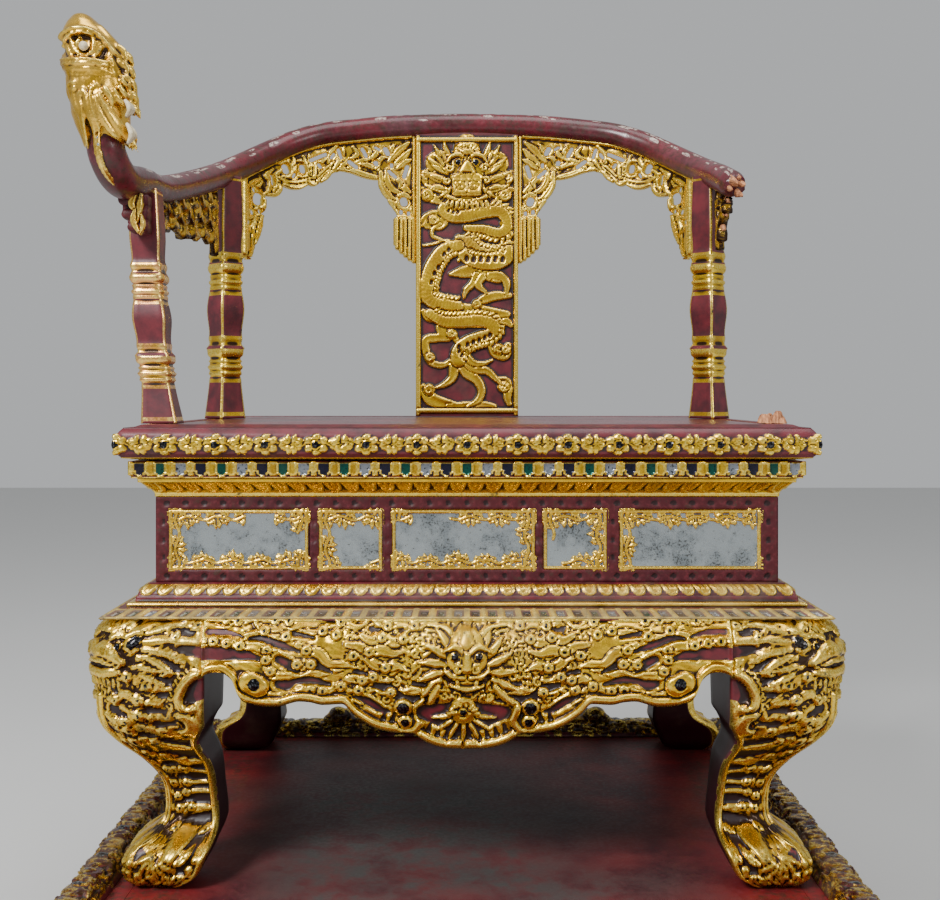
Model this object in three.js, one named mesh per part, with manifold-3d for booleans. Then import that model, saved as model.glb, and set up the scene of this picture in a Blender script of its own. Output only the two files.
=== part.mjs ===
// A carved, lacquered and gilded ceremonial throne on its low platform.
// Millimetres, +Z up, the front of the throne faces -Y, +X is to the right of someone facing it.
// The origin is on the floor under the middle of the platform.
// Coordinates of the throne's own pieces are measured from the throne's centre line,
// and the whole throne stands towards the back of the platform.
import * as THREE from 'three';
import { mergeVertices } from 'three/addons/utils/BufferGeometryUtils.js';
import Module from 'manifold-3d';

const wasm = await Module();
wasm.setup();

// ---------- driving dimensions ----------
const GAP = 0.3;                      // clearance kept between pieces that touch
const DECK = 200;                     // height of the platform's deck
const PLATFORM_WIDTH = 920;
const PLATFORM_DEPTH = 1180;
const REAR_OVERHANG = 385;            // throne centre to the platform's back edge
const KNEE_WIDTH = 874;               // across the widest part of the front knees
const WIDTH_MINUS_DEPTH = 150;        // the throne is this much wider than it is deep
const LEG_TOP = 518;                  // underside of the lower moulding
const WAIST_BOTTOM = 553;
const WAIST_TOP = 654;
const WAIST_HALF = 367.5;             // half width of the panelled box under the seat
const SEAT_BOTTOM = 697;
const SEAT_TOP = 739.5;
const SEAT_HALF = 408;
const WALL = 25;                      // thickness of the box walls
const RAIL_RADIUS = 19;

const HALF_DIFFERENCE = WIDTH_MINUS_DEPTH / 2;
const THRONE_Y = PLATFORM_DEPTH / 2 - REAR_OVERHANG;
const SIDES = { left: -1, right: 1 };

// ---------- materials ----------
const FINISHES = {
  lacquer: [0x6b2430, 0.38, 0.0],
  deck: [0x5a2228, 0.5, 0.0],
  gilt: [0xc89a32, 0.35, 0.85],
  mirror: [0x8f979c, 0.15, 0.9],
  bone: [0xe4dcc0, 0.5, 0.0],
};

const whole = new THREE.Group();
const throne = new THREE.Group();
throne.position.y = THRONE_Y;
whole.add(throne);

// Adds one named piece in one finish.
function piece(name, geometry, finish, parent = throne) {
  const [color, roughness, metalness] = FINISHES[finish];
  const mesh = new THREE.Mesh(geometry, new THREE.MeshStandardMaterial({ color, roughness, metalness }));
  mesh.name = name;
  parent.add(mesh);
  return mesh;
}

// ---------- helpers for solids ----------
const vec = (x, y, z) => new THREE.Vector3(x, y, z);

function indexed(points, faces) {
  const geometry = new THREE.BufferGeometry();
  geometry.setAttribute('position', new THREE.Float32BufferAttribute(points.flatMap((p) => [p.x, p.y, p.z]), 3));
  geometry.setIndex(faces.flat());
  return geometry;
}

function solid(geometry) {
  const bare = geometry.clone();
  bare.deleteAttribute('normal');
  bare.deleteAttribute('uv');
  const merged = mergeVertices(bare, 1e-3);
  const vertProperties = new Float32Array(merged.attributes.position.array);
  const triVerts = new Uint32Array(merged.index.array);
  return new wasm.Manifold(new wasm.Mesh({ numProp: 3, vertProperties, triVerts }));
}

function fromSolid(body) {
  const out = body.getMesh();
  const geometry = new THREE.BufferGeometry();
  geometry.setAttribute('position', new THREE.BufferAttribute(new Float32Array(out.vertProperties), 3));
  geometry.setIndex(new THREE.BufferAttribute(new Uint32Array(out.triVerts), 1));
  return geometry;
}

function union(geometries) {
  return geometries.map(solid).reduce((sum, next) => sum.add(next));
}

// Heights or offsets read smoothly off a short list of [position, value] pairs.
function profileOf(pairs) {
  return (t) => {
    const last = pairs.length - 1;
    if (t <= pairs[0][0]) return pairs[0][1];
    if (t >= pairs[last][0]) return pairs[last][1];
    const i = pairs.findIndex((pair) => pair[0] > t) - 1;
    const k = (t - pairs[i][0]) / (pairs[i + 1][0] - pairs[i][0]);
    return THREE.MathUtils.lerp(pairs[i][1], pairs[i + 1][1], k);
  };
}

// A rounded boss of height h and radius r at (cx, cy), for carved relief.
const boss = (x, y, cx, cy, r, h) => h * Math.max(0, 1 - ((x - cx) ** 2 + (y - cy) ** 2) / (r * r));

// A solid through a stack of sections that all have the same number of points.
function loft(sections) {
  const n = sections[0].length;
  const points = sections.flat();
  const faces = [];
  for (let k = 0; k + 1 < sections.length; k += 1) {
    for (let i = 0; i < n; i += 1) {
      const a = k * n + i;
      const b = k * n + ((i + 1) % n);
      faces.push([a, b, b + n], [a, b + n, a + n]);
    }
  }
  const top = (sections.length - 1) * n;
  for (let i = 1; i + 1 < n; i += 1) faces.push([0, i + 1, i], [top, top + i, top + i + 1]);
  return indexed(points, faces);
}

// A mitred ring: the profile is a closed loop of [half width, height], anticlockwise seen from -Y at +X.
function mitredRing(profile) {
  const corners = [[1, -1], [1, 1], [-1, 1], [-1, -1]];
  const n = profile.length;
  const points = corners.flatMap(([sx, sy]) => profile.map(([half, z]) => (
    vec(sx * half, sy * (half - HALF_DIFFERENCE), z))));
  const faces = [];
  for (let c = 0; c < 4; c += 1) {
    for (let i = 0; i < n; i += 1) {
      const j = (i + 1) % n;
      const d = (c + 1) % 4;
      faces.push([c * n + i, d * n + i, d * n + j], [c * n + i, d * n + j, c * n + j]);
    }
  }
  return indexed(points, faces);
}

// A plate with a carved front on a grid and a flat back in the plane y = backY.
function carvedPlate(cols, rows, front, backY) {
  const points = [];
  const faces = [];
  const at = (i, j) => j * (cols + 1) + i;
  for (let j = 0; j <= rows; j += 1) {
    for (let i = 0; i <= cols; i += 1) points.push(front(i / cols, j / rows));
  }
  for (let j = 0; j < rows; j += 1) {
    for (let i = 0; i < cols; i += 1) {
      faces.push([at(i, j), at(i + 1, j), at(i + 1, j + 1)], [at(i, j), at(i + 1, j + 1), at(i, j + 1)]);
    }
  }
  const rim = [];
  for (let i = 0; i < cols; i += 1) rim.push(at(i, 0));
  for (let j = 0; j < rows; j += 1) rim.push(at(cols, j));
  for (let i = cols; i > 0; i -= 1) rim.push(at(i, rows));
  for (let j = rows; j > 0; j -= 1) rim.push(at(0, j));
  const first = points.length;
  rim.forEach((k) => points.push(vec(points[k].x, backY, points[k].z)));
  rim.forEach((k, n) => {
    const next = (n + 1) % rim.length;
    faces.push([k, first + n, first + next], [k, first + next, rim[next]]);
  });
  const outline = rim.map((k) => new THREE.Vector2(points[k].x, points[k].z));
  THREE.ShapeUtils.triangulateShape(outline, []).forEach(([a, b, c]) => {
    faces.push([first + a, first + c, first + b]);
  });
  return indexed(points, faces);
}

// A plate of even thickness on a grid, bent as place(u, v, side) says, with some cells left open.
function piercedPlate(cols, rows, place, isOpen) {
  const points = [];
  const faces = [];
  const layer = (cols + 1) * (rows + 1);
  for (let side = 0; side < 2; side += 1) {
    for (let j = 0; j <= rows; j += 1) {
      for (let i = 0; i <= cols; i += 1) points.push(place(i / cols, j / rows, side));
    }
  }
  const at = (i, j) => j * (cols + 1) + i;
  const filled = (i, j) => i >= 0 && j >= 0 && i < cols && j < rows && !isOpen(i, j);
  const wall = (a, b) => faces.push([a, a + layer, b + layer], [a, b + layer, b]);
  for (let j = 0; j < rows; j += 1) {
    for (let i = 0; i < cols; i += 1) {
      if (!filled(i, j)) continue;
      const [a, b, c, d] = [at(i, j), at(i + 1, j), at(i + 1, j + 1), at(i, j + 1)];
      faces.push([a, b, c], [a, c, d]);
      faces.push([a + layer, c + layer, b + layer], [a + layer, d + layer, c + layer]);
      if (!filled(i, j - 1)) wall(a, b);
      if (!filled(i + 1, j)) wall(b, c);
      if (!filled(i, j + 1)) wall(c, d);
      if (!filled(i - 1, j)) wall(d, a);
    }
  }
  return indexed(points, faces);
}

// Mirrors a geometry in the plane x = 0 and keeps its faces outward.
function mirrored(geometry) {
  const copy = geometry.clone();
  copy.scale(-1, 1, 1);
  const index = copy.index.array;
  for (let i = 0; i < index.length; i += 3) [index[i], index[i + 1]] = [index[i + 1], index[i]];
  return copy;
}

// A round bar along a smooth curve through the given points, with radius(t) along it.
function bar(route, segments, sides, radius) {
  const curve = new THREE.CatmullRomCurve3(route, false, 'centripetal');
  const frames = curve.computeFrenetFrames(segments, false);
  const sections = [];
  for (let k = 0; k <= segments; k += 1) {
    const t = k / segments;
    const centre = curve.getPointAt(t);
    const r = radius(t);
    sections.push(Array.from({ length: sides }, (_, i) => {
      const angle = (2 * Math.PI * i) / sides;
      return centre.clone()
        .addScaledVector(frames.normals[k], r * Math.cos(angle))
        .addScaledVector(frames.binormals[k], r * Math.sin(angle));
    }));
  }
  return loft(sections);
}

function ball(x, y, z, rx, ry, rz, across = 8, down = 6) {
  const geometry = new THREE.SphereGeometry(1, across, down);
  geometry.scale(rx, ry, rz);
  geometry.translate(x, y, z);
  return geometry;
}

function box(x0, x1, y0, y1, z0, z1) {
  const geometry = new THREE.BoxGeometry(x1 - x0, y1 - y0, z1 - z0);
  geometry.translate((x0 + x1) / 2, (y0 + y1) / 2, (z0 + z1) / 2);
  return geometry;
}

// ---------- platform ----------
// A low stand: moulded edge round a flat deck, a waisted side and a wider plinth.
const RIM_WIDTH = 50;
const RIM_HEIGHT = 26;
const platformSides = [[-14, 0], [0, 30], [-8, 42], [-34, 58], [-38, 132], [-12, 150], [-2, 164], [0, 178]];
const platformSection = (outset, z) => {
  const hx = PLATFORM_WIDTH / 2 + outset;
  const hy = PLATFORM_DEPTH / 2 + outset;
  return [vec(-hx, -hy, z), vec(hx, -hy, z), vec(hx, hy, z), vec(-hx, hy, z)];
};
const deckLevels = [...platformSides, [0, DECK]];
const platformBlock = solid(loft(deckLevels.map(([outset, z]) => platformSection(outset, z))));
// The stand is a frame of boards, open underneath.
const PLATFORM_WALL = 70;
const DECK_THICK = 30;
const EXTRA = 1;
const cavityX = PLATFORM_WIDTH / 2 - PLATFORM_WALL;
const cavityY = PLATFORM_DEPTH / 2 - PLATFORM_WALL;
const cavity = box(-cavityX, cavityX, -cavityY, cavityY, -EXTRA, DECK - DECK_THICK);
piece('platform', fromSolid(platformBlock.subtract(solid(cavity))), 'deck', whole);

// Carved cloud-and-creature border that stands on the deck along one edge.
// The strip is drawn along +X, with its outer side towards -Y.
function rimStrip(length, knots, creatures) {
  const sections = [];
  for (let k = 0; k <= knots; k += 1) {
    const s = k / knots;
    const swell = 0.75 + 0.25 * Math.sin(knots * 1.9 * s);
    const creature = creatures.reduce((sum, c) => sum + Math.max(0, 1 - ((s - c) / 0.09) ** 2), 0);
    const top = RIM_HEIGHT * (swell + 0.9 * creature);
    const x = (s - 0.5) * length;
    sections.push([
      vec(x, -RIM_WIDTH / 2, 0), vec(x, -RIM_WIDTH / 2, top * 0.5), vec(x, -RIM_WIDTH * 0.2, top),
      vec(x, RIM_WIDTH * 0.2, top * 0.85), vec(x, RIM_WIDTH / 2, top * 0.3), vec(x, RIM_WIDTH / 2, 0),
    ].reverse());
  }
  return loft(sections);
}
const rimZ = DECK + GAP;
const rimX = PLATFORM_WIDTH / 2 - RIM_WIDTH / 2;
const sideRimLength = PLATFORM_DEPTH - RIM_WIDTH - GAP;
for (const [side, sign] of Object.entries(SIDES)) {
  const geometry = rimStrip(sideRimLength, 21, []);
  geometry.rotateZ(sign * Math.PI / 2);
  geometry.translate(sign * rimX, -(RIM_WIDTH + GAP) / 2, rimZ);
  piece(`platform_rim_${side}`, geometry, 'gilt', whole);
}
const rearRim = rimStrip(PLATFORM_WIDTH, 22, [0.3, 0.7]);
rearRim.rotateZ(Math.PI);
rearRim.translate(0, PLATFORM_DEPTH / 2 - RIM_WIDTH / 2, rimZ);
piece('platform_rim_rear', rearRim, 'gilt', whole);

// ---------- cabriole legs ----------
const KNEE = KNEE_WIDTH / 2;
const legOutside = profileOf([
  [200, KNEE - 47], [222, KNEE - 35], [243, KNEE - 41], [262, KNEE - 69], [290, KNEE - 78], [320, KNEE - 73],
  [345, KNEE - 57], [375, KNEE - 29], [400, KNEE - 10], [440, KNEE - 1], [480, KNEE], [505, KNEE - 8],
  [LEG_TOP, KNEE - 18],
]);
const LEG_INNER = 300;
const legInside = profileOf([
  [200, 338], [212, 318], [235, 304], [262, 295], [300, 298], [340, 302], [372, 313], [390, 301],
  [425, LEG_INNER], [LEG_TOP, LEG_INNER],
]);

// Carved knee mask and rolling clouds, for a point at distance a from the outer corner at height z.
function legRelief(a, z) {
  const mask = boss(a, z, 30, 482, 34, 9) + boss(a, z, 62, 500, 22, 8) + boss(a, z, 18, 446, 26, 8);
  const clouds = 4.5 * Math.sin(0.115 * a + 0.21 * z) * Math.sin(0.05 * z);
  const paw = boss(a, z, 22, 226, 30, 6) + boss(a, z, 66, 222, 24, 5);
  return mask + clouds + paw - 4;
}

// The leg at the +X, +Y corner; the others are mirrored from it.
function legGeometry() {
  const levels = 15;
  const faceSteps = [0.12, 0.38, 0.64, 0.9];
  const sections = [];
  for (let k = 0; k <= levels; k += 1) {
    const z = THREE.MathUtils.lerp(DECK + GAP, LEG_TOP, k / levels);
    const out = legOutside(z);
    const inn = legInside(z);
    const wide = out - inn;
    const atEnd = k === 0 || k === levels;
    const carved = (a) => (atEnd ? -2 : legRelief(a, z));
    const y = (half) => half - HALF_DIFFERENCE;
    const sideFace = faceSteps.map((f) => vec(out + carved(wide * (1 - f)), y(inn + wide * f), z));
    const backFace = faceSteps.map((f) => vec(inn + wide * f, y(out + carved(wide * (1 - f))), z));
    sections.push([vec(inn, y(inn), z), vec(out - 3, y(inn), z), ...sideFace, ...backFace.reverse(),
      vec(inn, y(out - 3), z)]);
  }
  return loft(sections);
}
const rightRearLeg = legGeometry();
const leftRearLeg = mirrored(rightRearLeg);
for (const [side, geometry] of [['right', rightRearLeg], ['left', leftRearLeg]]) {
  piece(`leg_rear_${side}`, geometry, 'gilt');
  const front = mirrored(geometry.clone().rotateZ(Math.PI));
  piece(`leg_front_${side}`, front, 'gilt');
}

// ---------- aprons between the legs ----------
// Lower edge for half an apron, from its middle (0) to the leg (1): a lobed curve, then an arched notch.
const apronLower = profileOf([
  [0, 371], [0.08, 373], [0.16, 380], [0.21, 390], [0.28, 391], [0.36, 399], [0.43, 413], [0.47, 425],
  [0.55, 424], [0.63, 428], [0.72, 422], [0.81, 426], [0.87, 440], [0.88, 452], [0.95, 461], [1, 455],
]);
const apronBulge = profileOf([[371, -16], [400, -9], [440, -1], [480, 0], [505, -8], [LEG_TOP, -18]]);

// Rolling clouds either side of a frontal dragon face, as height over the apron's surface.
function apronRelief(x, z, halfLength) {
  const face = boss(x, z, 0, 462, 46, 9) + boss(Math.abs(x), z, 26, 474, 16, 5) + boss(x, z, 0, 408, 30, 8);
  const clouds = 4 * Math.sin(0.09 * Math.abs(x) + 0.06 * z) * Math.sin(0.11 * z);
  return face + clouds * Math.min(1, (halfLength - Math.abs(x)) / 30);
}

// An apron that faces -Y, as long as the opening between two legs.
function apronGeometry(halfLength, faceY, cols, rows) {
  const front = (u, v) => {
    const x = (2 * u - 1) * halfLength;
    const low = apronLower(Math.abs(2 * u - 1));
    const z = THREE.MathUtils.lerp(low, LEG_TOP, v);
    const carved = v === 1 ? 0 : apronRelief(x, z, halfLength);
    return vec(x, faceY - apronBulge(z) - carved, z);
  };
  return carvedPlate(cols, rows, front, faceY + 36);
}
const apronHalfFront = LEG_INNER - GAP;
const apronHalfSide = LEG_INNER - HALF_DIFFERENCE - GAP;
const kneeDepth = KNEE - HALF_DIFFERENCE;
piece('apron_front', apronGeometry(apronHalfFront, -kneeDepth, 34, 4), 'gilt');
const rearApron = apronGeometry(apronHalfFront, -kneeDepth, 24, 3);
rearApron.rotateZ(Math.PI);
piece('apron_rear', rearApron, 'gilt');
for (const [side, sign] of Object.entries(SIDES)) {
  const geometry = apronGeometry(apronHalfSide, -KNEE, 24, 4);
  geometry.rotateZ(sign * Math.PI / 2);
  piece(`apron_${side}`, geometry, 'gilt');
}

// ---------- mouldings and panelled box ----------
const RING_INSIDE = 330;
piece('lower_moulding', mitredRing([
  [RING_INSIDE, LEG_TOP + GAP], [KNEE - 18, LEG_TOP + GAP], [403, 527], [392, 528.5], [391.5, 533], [386, 534],
  [385, 539], [383, 540], [378, 549], [373, WAIST_BOTTOM], [RING_INSIDE, WAIST_BOTTOM],
]), 'gilt');

const boxBottom = WAIST_BOTTOM + GAP;
const boxOutside = mitredRing([
  [WAIST_HALF - WALL, boxBottom], [WAIST_HALF, boxBottom], [WAIST_HALF, WAIST_TOP], [WAIST_HALF - WALL, WAIST_TOP],
]);
const RECESS = 5;
const PANEL_BOTTOM = 567;
const PANEL_TOP = 639;
// Panels along each face: [centre, half width], in the face's own direction.
const longPanels = [[-270, 83], [-137.5, 38], [-4, 85], [128, 38], [264, 84]];
const shortPanels = [[-184, 80], [0, 78], [184, 80]];
const faces = [
  { name: 'front', panels: longPanels, turn: 0, distance: WAIST_HALF - HALF_DIFFERENCE },
  { name: 'right', panels: shortPanels, turn: Math.PI / 2, distance: WAIST_HALF },
  { name: 'rear', panels: longPanels, turn: Math.PI, distance: WAIST_HALF - HALF_DIFFERENCE },
  { name: 'left', panels: shortPanels, turn: -Math.PI / 2, distance: WAIST_HALF },
];
let boxSolid = solid(boxOutside);
for (const face of faces) {
  for (const [centre, half] of face.panels) {
    const pocket = box(centre - half, centre + half, -face.distance - EXTRA, -face.distance + RECESS,
      PANEL_BOTTOM, PANEL_TOP);
    pocket.rotateZ(face.turn);
    boxSolid = boxSolid.subtract(solid(pocket));
  }
}
piece('waist_box', fromSolid(boxSolid), 'lacquer');

// Mirror glass with a gilt moulding round it in each pocket; the rear face has bare sunk panels.
const MIRROR_THICK = 2.5;
const MOULDING_WIDTH = 6;
function panelMoulding(centre, half, distance) {
  const shape = new THREE.Shape();
  const frame = (path, inset) => {
    path.moveTo(centre - half + inset, PANEL_BOTTOM + inset);
    path.lineTo(centre + half - inset, PANEL_BOTTOM + inset);
    path.lineTo(centre + half - inset, PANEL_TOP - inset);
    path.lineTo(centre - half + inset, PANEL_TOP - inset);
    path.closePath();
    return path;
  };
  frame(shape, GAP);
  shape.holes.push(frame(new THREE.Path(), MOULDING_WIDTH));
  const geometry = new THREE.ExtrudeGeometry(shape, { depth: 5, bevelEnabled: false });
  geometry.rotateX(Math.PI / 2);
  geometry.translate(0, -distance + RECESS - MIRROR_THICK - 2 * GAP, 0);
  return geometry;
}
for (const face of faces.filter(({ name }) => name !== 'rear')) {
  face.panels.forEach(([centre, half], i) => {
    const back = -face.distance + RECESS - GAP;
    const glass = box(centre - half + GAP, centre + half - GAP, back - MIRROR_THICK, back,
      PANEL_BOTTOM + GAP, PANEL_TOP - GAP);
    const moulding = panelMoulding(centre, half, face.distance);
    glass.rotateZ(face.turn);
    moulding.rotateZ(face.turn);
    piece(`mirror_${face.name}_${i + 1}`, glass, 'mirror');
    piece(`panel_moulding_${face.name}_${i + 1}`, moulding, 'gilt');
  });
}

piece('upper_moulding', mitredRing([
  [RING_INSIDE, WAIST_TOP + GAP], [WAIST_HALF + 1, WAIST_TOP + GAP], [WAIST_HALF + 1, 658], [371, 661],
  [381, 671], [384, 672], [384, 676], [392.5, 677], [392.5, SEAT_BOTTOM - GAP], [RING_INSIDE, SEAT_BOTTOM - GAP],
]), 'gilt');

// Seat board with a rounded edge.
const seatEdge = [[-14, SEAT_BOTTOM], [-4, 701], [0, 711], [0, 723], [-3, 733], [-9, SEAT_TOP]];
piece('seat_board', loft(seatEdge.map(([inset, z]) => {
  const hx = SEAT_HALF + inset;
  const hy = hx - HALF_DIFFERENCE;
  return [vec(-hx, -hy, z), vec(hx, -hy, z), vec(hx, hy, z), vec(-hx, hy, z)];
})), 'lacquer');

// ---------- posts ----------
// Half widths up the post, as [share of the height, half width]: blocks with pinched sides between triple rings.
const postShape = [
  [0, 22.5], [0.14, 18], [0.18, 17.5], [0.19, 20], [0.215, 20], [0.225, 17.5],
  [0.25, 21.5], [0.29, 21.5], [0.31, 17.5], [0.325, 19.5], [0.35, 18.5],
  [0.45, 20.5], [0.53, 18], [0.54, 20], [0.565, 20], [0.575, 17.5],
  [0.6, 21.5], [0.64, 21.5], [0.655, 17.5], [0.67, 19.5], [0.7, 17.5],
  [0.8, 19], [1, 17],
];
// A post from foot to head: the centre line bows by sway on its way up.
function postGeometry(foot, head, sway, turn) {
  return loft(postShape.map(([share, half]) => {
    const centre = foot.clone().lerp(head, share);
    centre.x += sway * Math.sin(2 * Math.PI * share);
    const ring = [];
    const cut = half * 0.3;
    for (const [a, b] of [[1, -1], [1, 1], [-1, 1], [-1, -1]]) {
      const first = a * b < 0 ? [half - cut, half] : [half, half - cut];
      const second = a * b < 0 ? [half, half - cut] : [half - cut, half];
      ring.push([a * first[0], b * first[1]], [a * second[0], b * second[1]]);
    }
    return ring.map(([x, y]) => vec(x, y, 0).applyAxisAngle(vec(0, 0, 1), turn).add(centre));
  }));
}
const postFoot = SEAT_TOP + GAP;
const FRONT_POST = vec(-369, -252, 0);
const REAR_POST_X = 353;
const REAR_POST_Y = 60;

// ---------- horseshoe rail with the dragon's head ----------
const BACK_Y = 228;
const CREST = 1202.5;
// The rail from the middle of the back round to the right break, as [x, y, z].
const railHalf = [
  [0, BACK_Y, CREST], [120, 224, CREST - 4], [228, 203, CREST - 20], [300, 160, CREST - 55],
  [347, 85, CREST - 96], [361, 20, CREST - 118],
];
const railBreak = [370, -42, CREST - 140];
const railLeftArm = [[-376, -75, 1058], [-388, -180, 1034], [-393, -255, 1029], [-401, -318, 1024],
  [-408, -350, 1046], [-412, -350, 1100]];
const rightRoute = [...railHalf.slice(1), railBreak].map(([x, y, z]) => vec(x, y, z));
const leftRoute = [...railHalf.slice(1).map(([x, y, z]) => vec(-x, y, z)),
  ...railLeftArm.map(([x, y, z]) => vec(x, y, z))];
const railRoute = [...leftRoute.reverse(), vec(...railHalf[0]), ...rightRoute];
const railRadius = (t) => (t < 0.03 ? 15 + 130 * t : RAIL_RADIUS);
const RAIL_STEPS = 38;
const RAIL_SIDES = 8;
const railBar = bar(railRoute, RAIL_STEPS, RAIL_SIDES, railRadius);

// Splintered break at the right end: wedges left standing past the bar's end.
const splinters = [[-6, 8, 34, 9], [7, 4, 22, 7], [2, -9, 28, 8]].map(([dx, dz, length, r]) => {
  const wedge = new THREE.ConeGeometry(r, length, 5);
  wedge.rotateX(Math.PI);
  wedge.rotateX(-Math.PI / 2);
  wedge.rotateX(Math.PI);
  wedge.translate(railBreak[0] + dx, railBreak[1] - length / 2 + 4, railBreak[2] + dz - 2);
  return wedge;
});

// Dragon's head: looks forward (-Y), forehead thrown back, mane swept down the neck.
const HEAD = vec(-416, -352, 1128);
function dragonHead() {
  const { x, y, z } = HEAD;
  const parts = [
    ball(x + 2, y + 8, z + 8, 31, 42, 46, 8, 6),       // skull
    ball(x - 9, y - 20, z + 64, 27, 27, 20, 7, 4),     // upturned snout
    ball(x - 6, y - 30, z + 41, 24, 29, 10, 7, 4),     // upper lip
    ball(x - 4, y - 26, z + 4, 28, 28, 15, 7, 4),      // lower jaw
    ball(x + 19, y - 6, z + 38, 16, 22, 23, 6, 4),     // brow
    ball(x - 24, y - 2, z - 14, 10, 20, 18, 6, 4),     // cheek
  ];
  const locks = 5;
  for (let i = 0; i < locks; i += 1) {
    const across = (i / (locks - 1) - 0.5) * 2;
    const lock = new THREE.ConeGeometry(12, 88 - 18 * Math.abs(across), 5);
    lock.rotateX(Math.PI);
    lock.rotateY(across * 0.12);
    lock.translate(x + 6 + 24 * across, y - 18 + 18 * across * across, z - 36);
    parts.push(lock);
  }
  for (const [dz, length] of [[34, 44], [2, 38], [-26, 36]]) {
    const flame = new THREE.ConeGeometry(9, length, 5);
    flame.rotateZ(-1.15);
    flame.translate(x + 34, y + 12, z + dz);
    parts.push(flame);
  }
  return parts;
}
const railWithHead = union([railBar, ...splinters, ...dragonHead()]);

const tuskAt = (z, bend) => {
  const route = [vec(HEAD.x + 38, HEAD.y - 22, z - bend), vec(HEAD.x + 47, HEAD.y - 26, z),
    vec(HEAD.x + 40, HEAD.y - 30, z + bend)];
  return bar(route, 5, 5, (t) => 2 + 2.5 * Math.sin(Math.PI * Math.min(1, t + 0.25)));
};
const tusks = { upper: tuskAt(HEAD.z - 12, 9), lower: tuskAt(HEAD.z - 46, 11) };
const pearl = ball(HEAD.x - 14, HEAD.y - 50, HEAD.z + 44, 5.5, 5.5, 5.5, 7, 4);
const railAndHead = [...Object.values(tusks), pearl].reduce((body, part) => {
  const room = part.clone();
  room.computeBoundingBox();
  const centre = room.boundingBox.getCenter(vec(0, 0, 0));
  room.translate(-centre.x, -centre.y, -centre.z).scale(1.08, 1.08, 1.08).translate(centre.x, centre.y, centre.z);
  return body.subtract(solid(room));
}, railWithHead);
for (const [place, geometry] of Object.entries(tusks)) piece(`dragon_tusk_${place}`, geometry, 'bone');
piece('dragon_pearl', pearl, 'bone');

// A slightly fatter rail, used to trim what stands under it.
const railRoom = solid(bar(railRoute, RAIL_STEPS, RAIL_SIDES, (t) => railRadius(t) + GAP));
piece('arm_rail', fromSolid(railAndHead), 'lacquer');

const underRail = (geometry) => {
  const pieces = solid(geometry).subtract(railRoom).decompose();
  pieces.sort((a, b) => b.volume() - a.volume());
  return fromSolid(pieces[0]);
};
piece('post_front_left', underRail(postGeometry(
  vec(FRONT_POST.x, FRONT_POST.y, postFoot), vec(-389, FRONT_POST.y, 1024), -4, 0)), 'lacquer');
for (const [side, sign] of Object.entries(SIDES)) {
  piece(`post_rear_${side}`, underRail(postGeometry(
    vec(sign * REAR_POST_X, REAR_POST_Y, postFoot), vec(sign * 351, REAR_POST_Y, 1090), 0, Math.PI / 4)), 'lacquer');
}

// Stump of the broken front right post.
const stumpProfile = [[22, 16, 0], [21, 15, 5], [17, 11, 9], [8, 5, 15]];
piece('post_stump_front_right', loft(stumpProfile.map(([hx, hy, z], k) => [
  vec(371 - hx + k * 3, -252 - hy, postFoot + z), vec(371 + hx - k * 3, -252 - hy, postFoot + z + k * 1.2),
  vec(371 + hx - k * 3, -252 + hy, postFoot + z), vec(371 - hx + k * 3, -252 + hy, postFoot + z + k),
])), 'lacquer');

// ---------- splat ----------
const SPLAT_HALF = 81;
const SPLAT_THICK = 22;
const SPLAT_FRONT = BACK_Y - 13;
const splatBoard = box(-SPLAT_HALF, SPLAT_HALF, SPLAT_FRONT, SPLAT_FRONT + SPLAT_THICK, postFoot, 1193);
const FRAME = 7;
const RAISED = 6;
const strip = (x0, x1, z0, z1) => box(x0, x1, SPLAT_FRONT - RAISED, SPLAT_FRONT + EXTRA, z0, z1);
const frameTop = 1180;
const frameBottom = 746;
const splatFrame = [
  strip(-SPLAT_HALF, SPLAT_HALF, frameTop - FRAME, frameTop),
  strip(-SPLAT_HALF, SPLAT_HALF, frameBottom, frameBottom + FRAME),
  strip(-SPLAT_HALF, -SPLAT_HALF + FRAME, frameBottom, frameTop),
  strip(SPLAT_HALF - FRAME, SPLAT_HALF, frameBottom, frameTop),
];
// The dragon's body winds down the board from the face at the top to the tail at the foot.
const windings = 2.25;
const bodyRoute = Array.from({ length: 17 }, (_, i) => {
  const t = i / 16;
  const swing = 44 * Math.sin(2 * Math.PI * windings * t + 0.6) * (1 - 0.35 * t);
  return vec(swing, SPLAT_FRONT - 1, THREE.MathUtils.lerp(1082, 790, t));
});
const dragonBody = bar(bodyRoute, 26, 5, (t) => 13 - 7 * t);
const dragonFace = ball(0, SPLAT_FRONT, 1118, 34, 15, 38, 7, 5);
const muzzle = box(-22, 22, SPLAT_FRONT - 17, SPLAT_FRONT + EXTRA, 1092, 1122);
const flames = [-1, 1].flatMap((sign) => [0, 1, 2].map((k) => {
  const flame = new THREE.ConeGeometry(9, 40, 5);
  flame.rotateZ(-sign * (0.5 + 0.5 * k));
  flame.translate(sign * (34 + 8 * k), SPLAT_FRONT - 1, 1150 - 26 * k);
  return flame;
}));
const claws = [[-46, 1020], [48, 985], [-44, 900], [46, 862], [-30, 776], [30, 776]].map(([x, z]) => (
  ball(x, SPLAT_FRONT, z, 17, 9, 12, 5, 4)));
piece('splat', underRail(fromSolid(union([
  splatBoard, ...splatFrame, dragonBody, dragonFace, muzzle, ...flames, ...claws]))), 'gilt');

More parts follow.
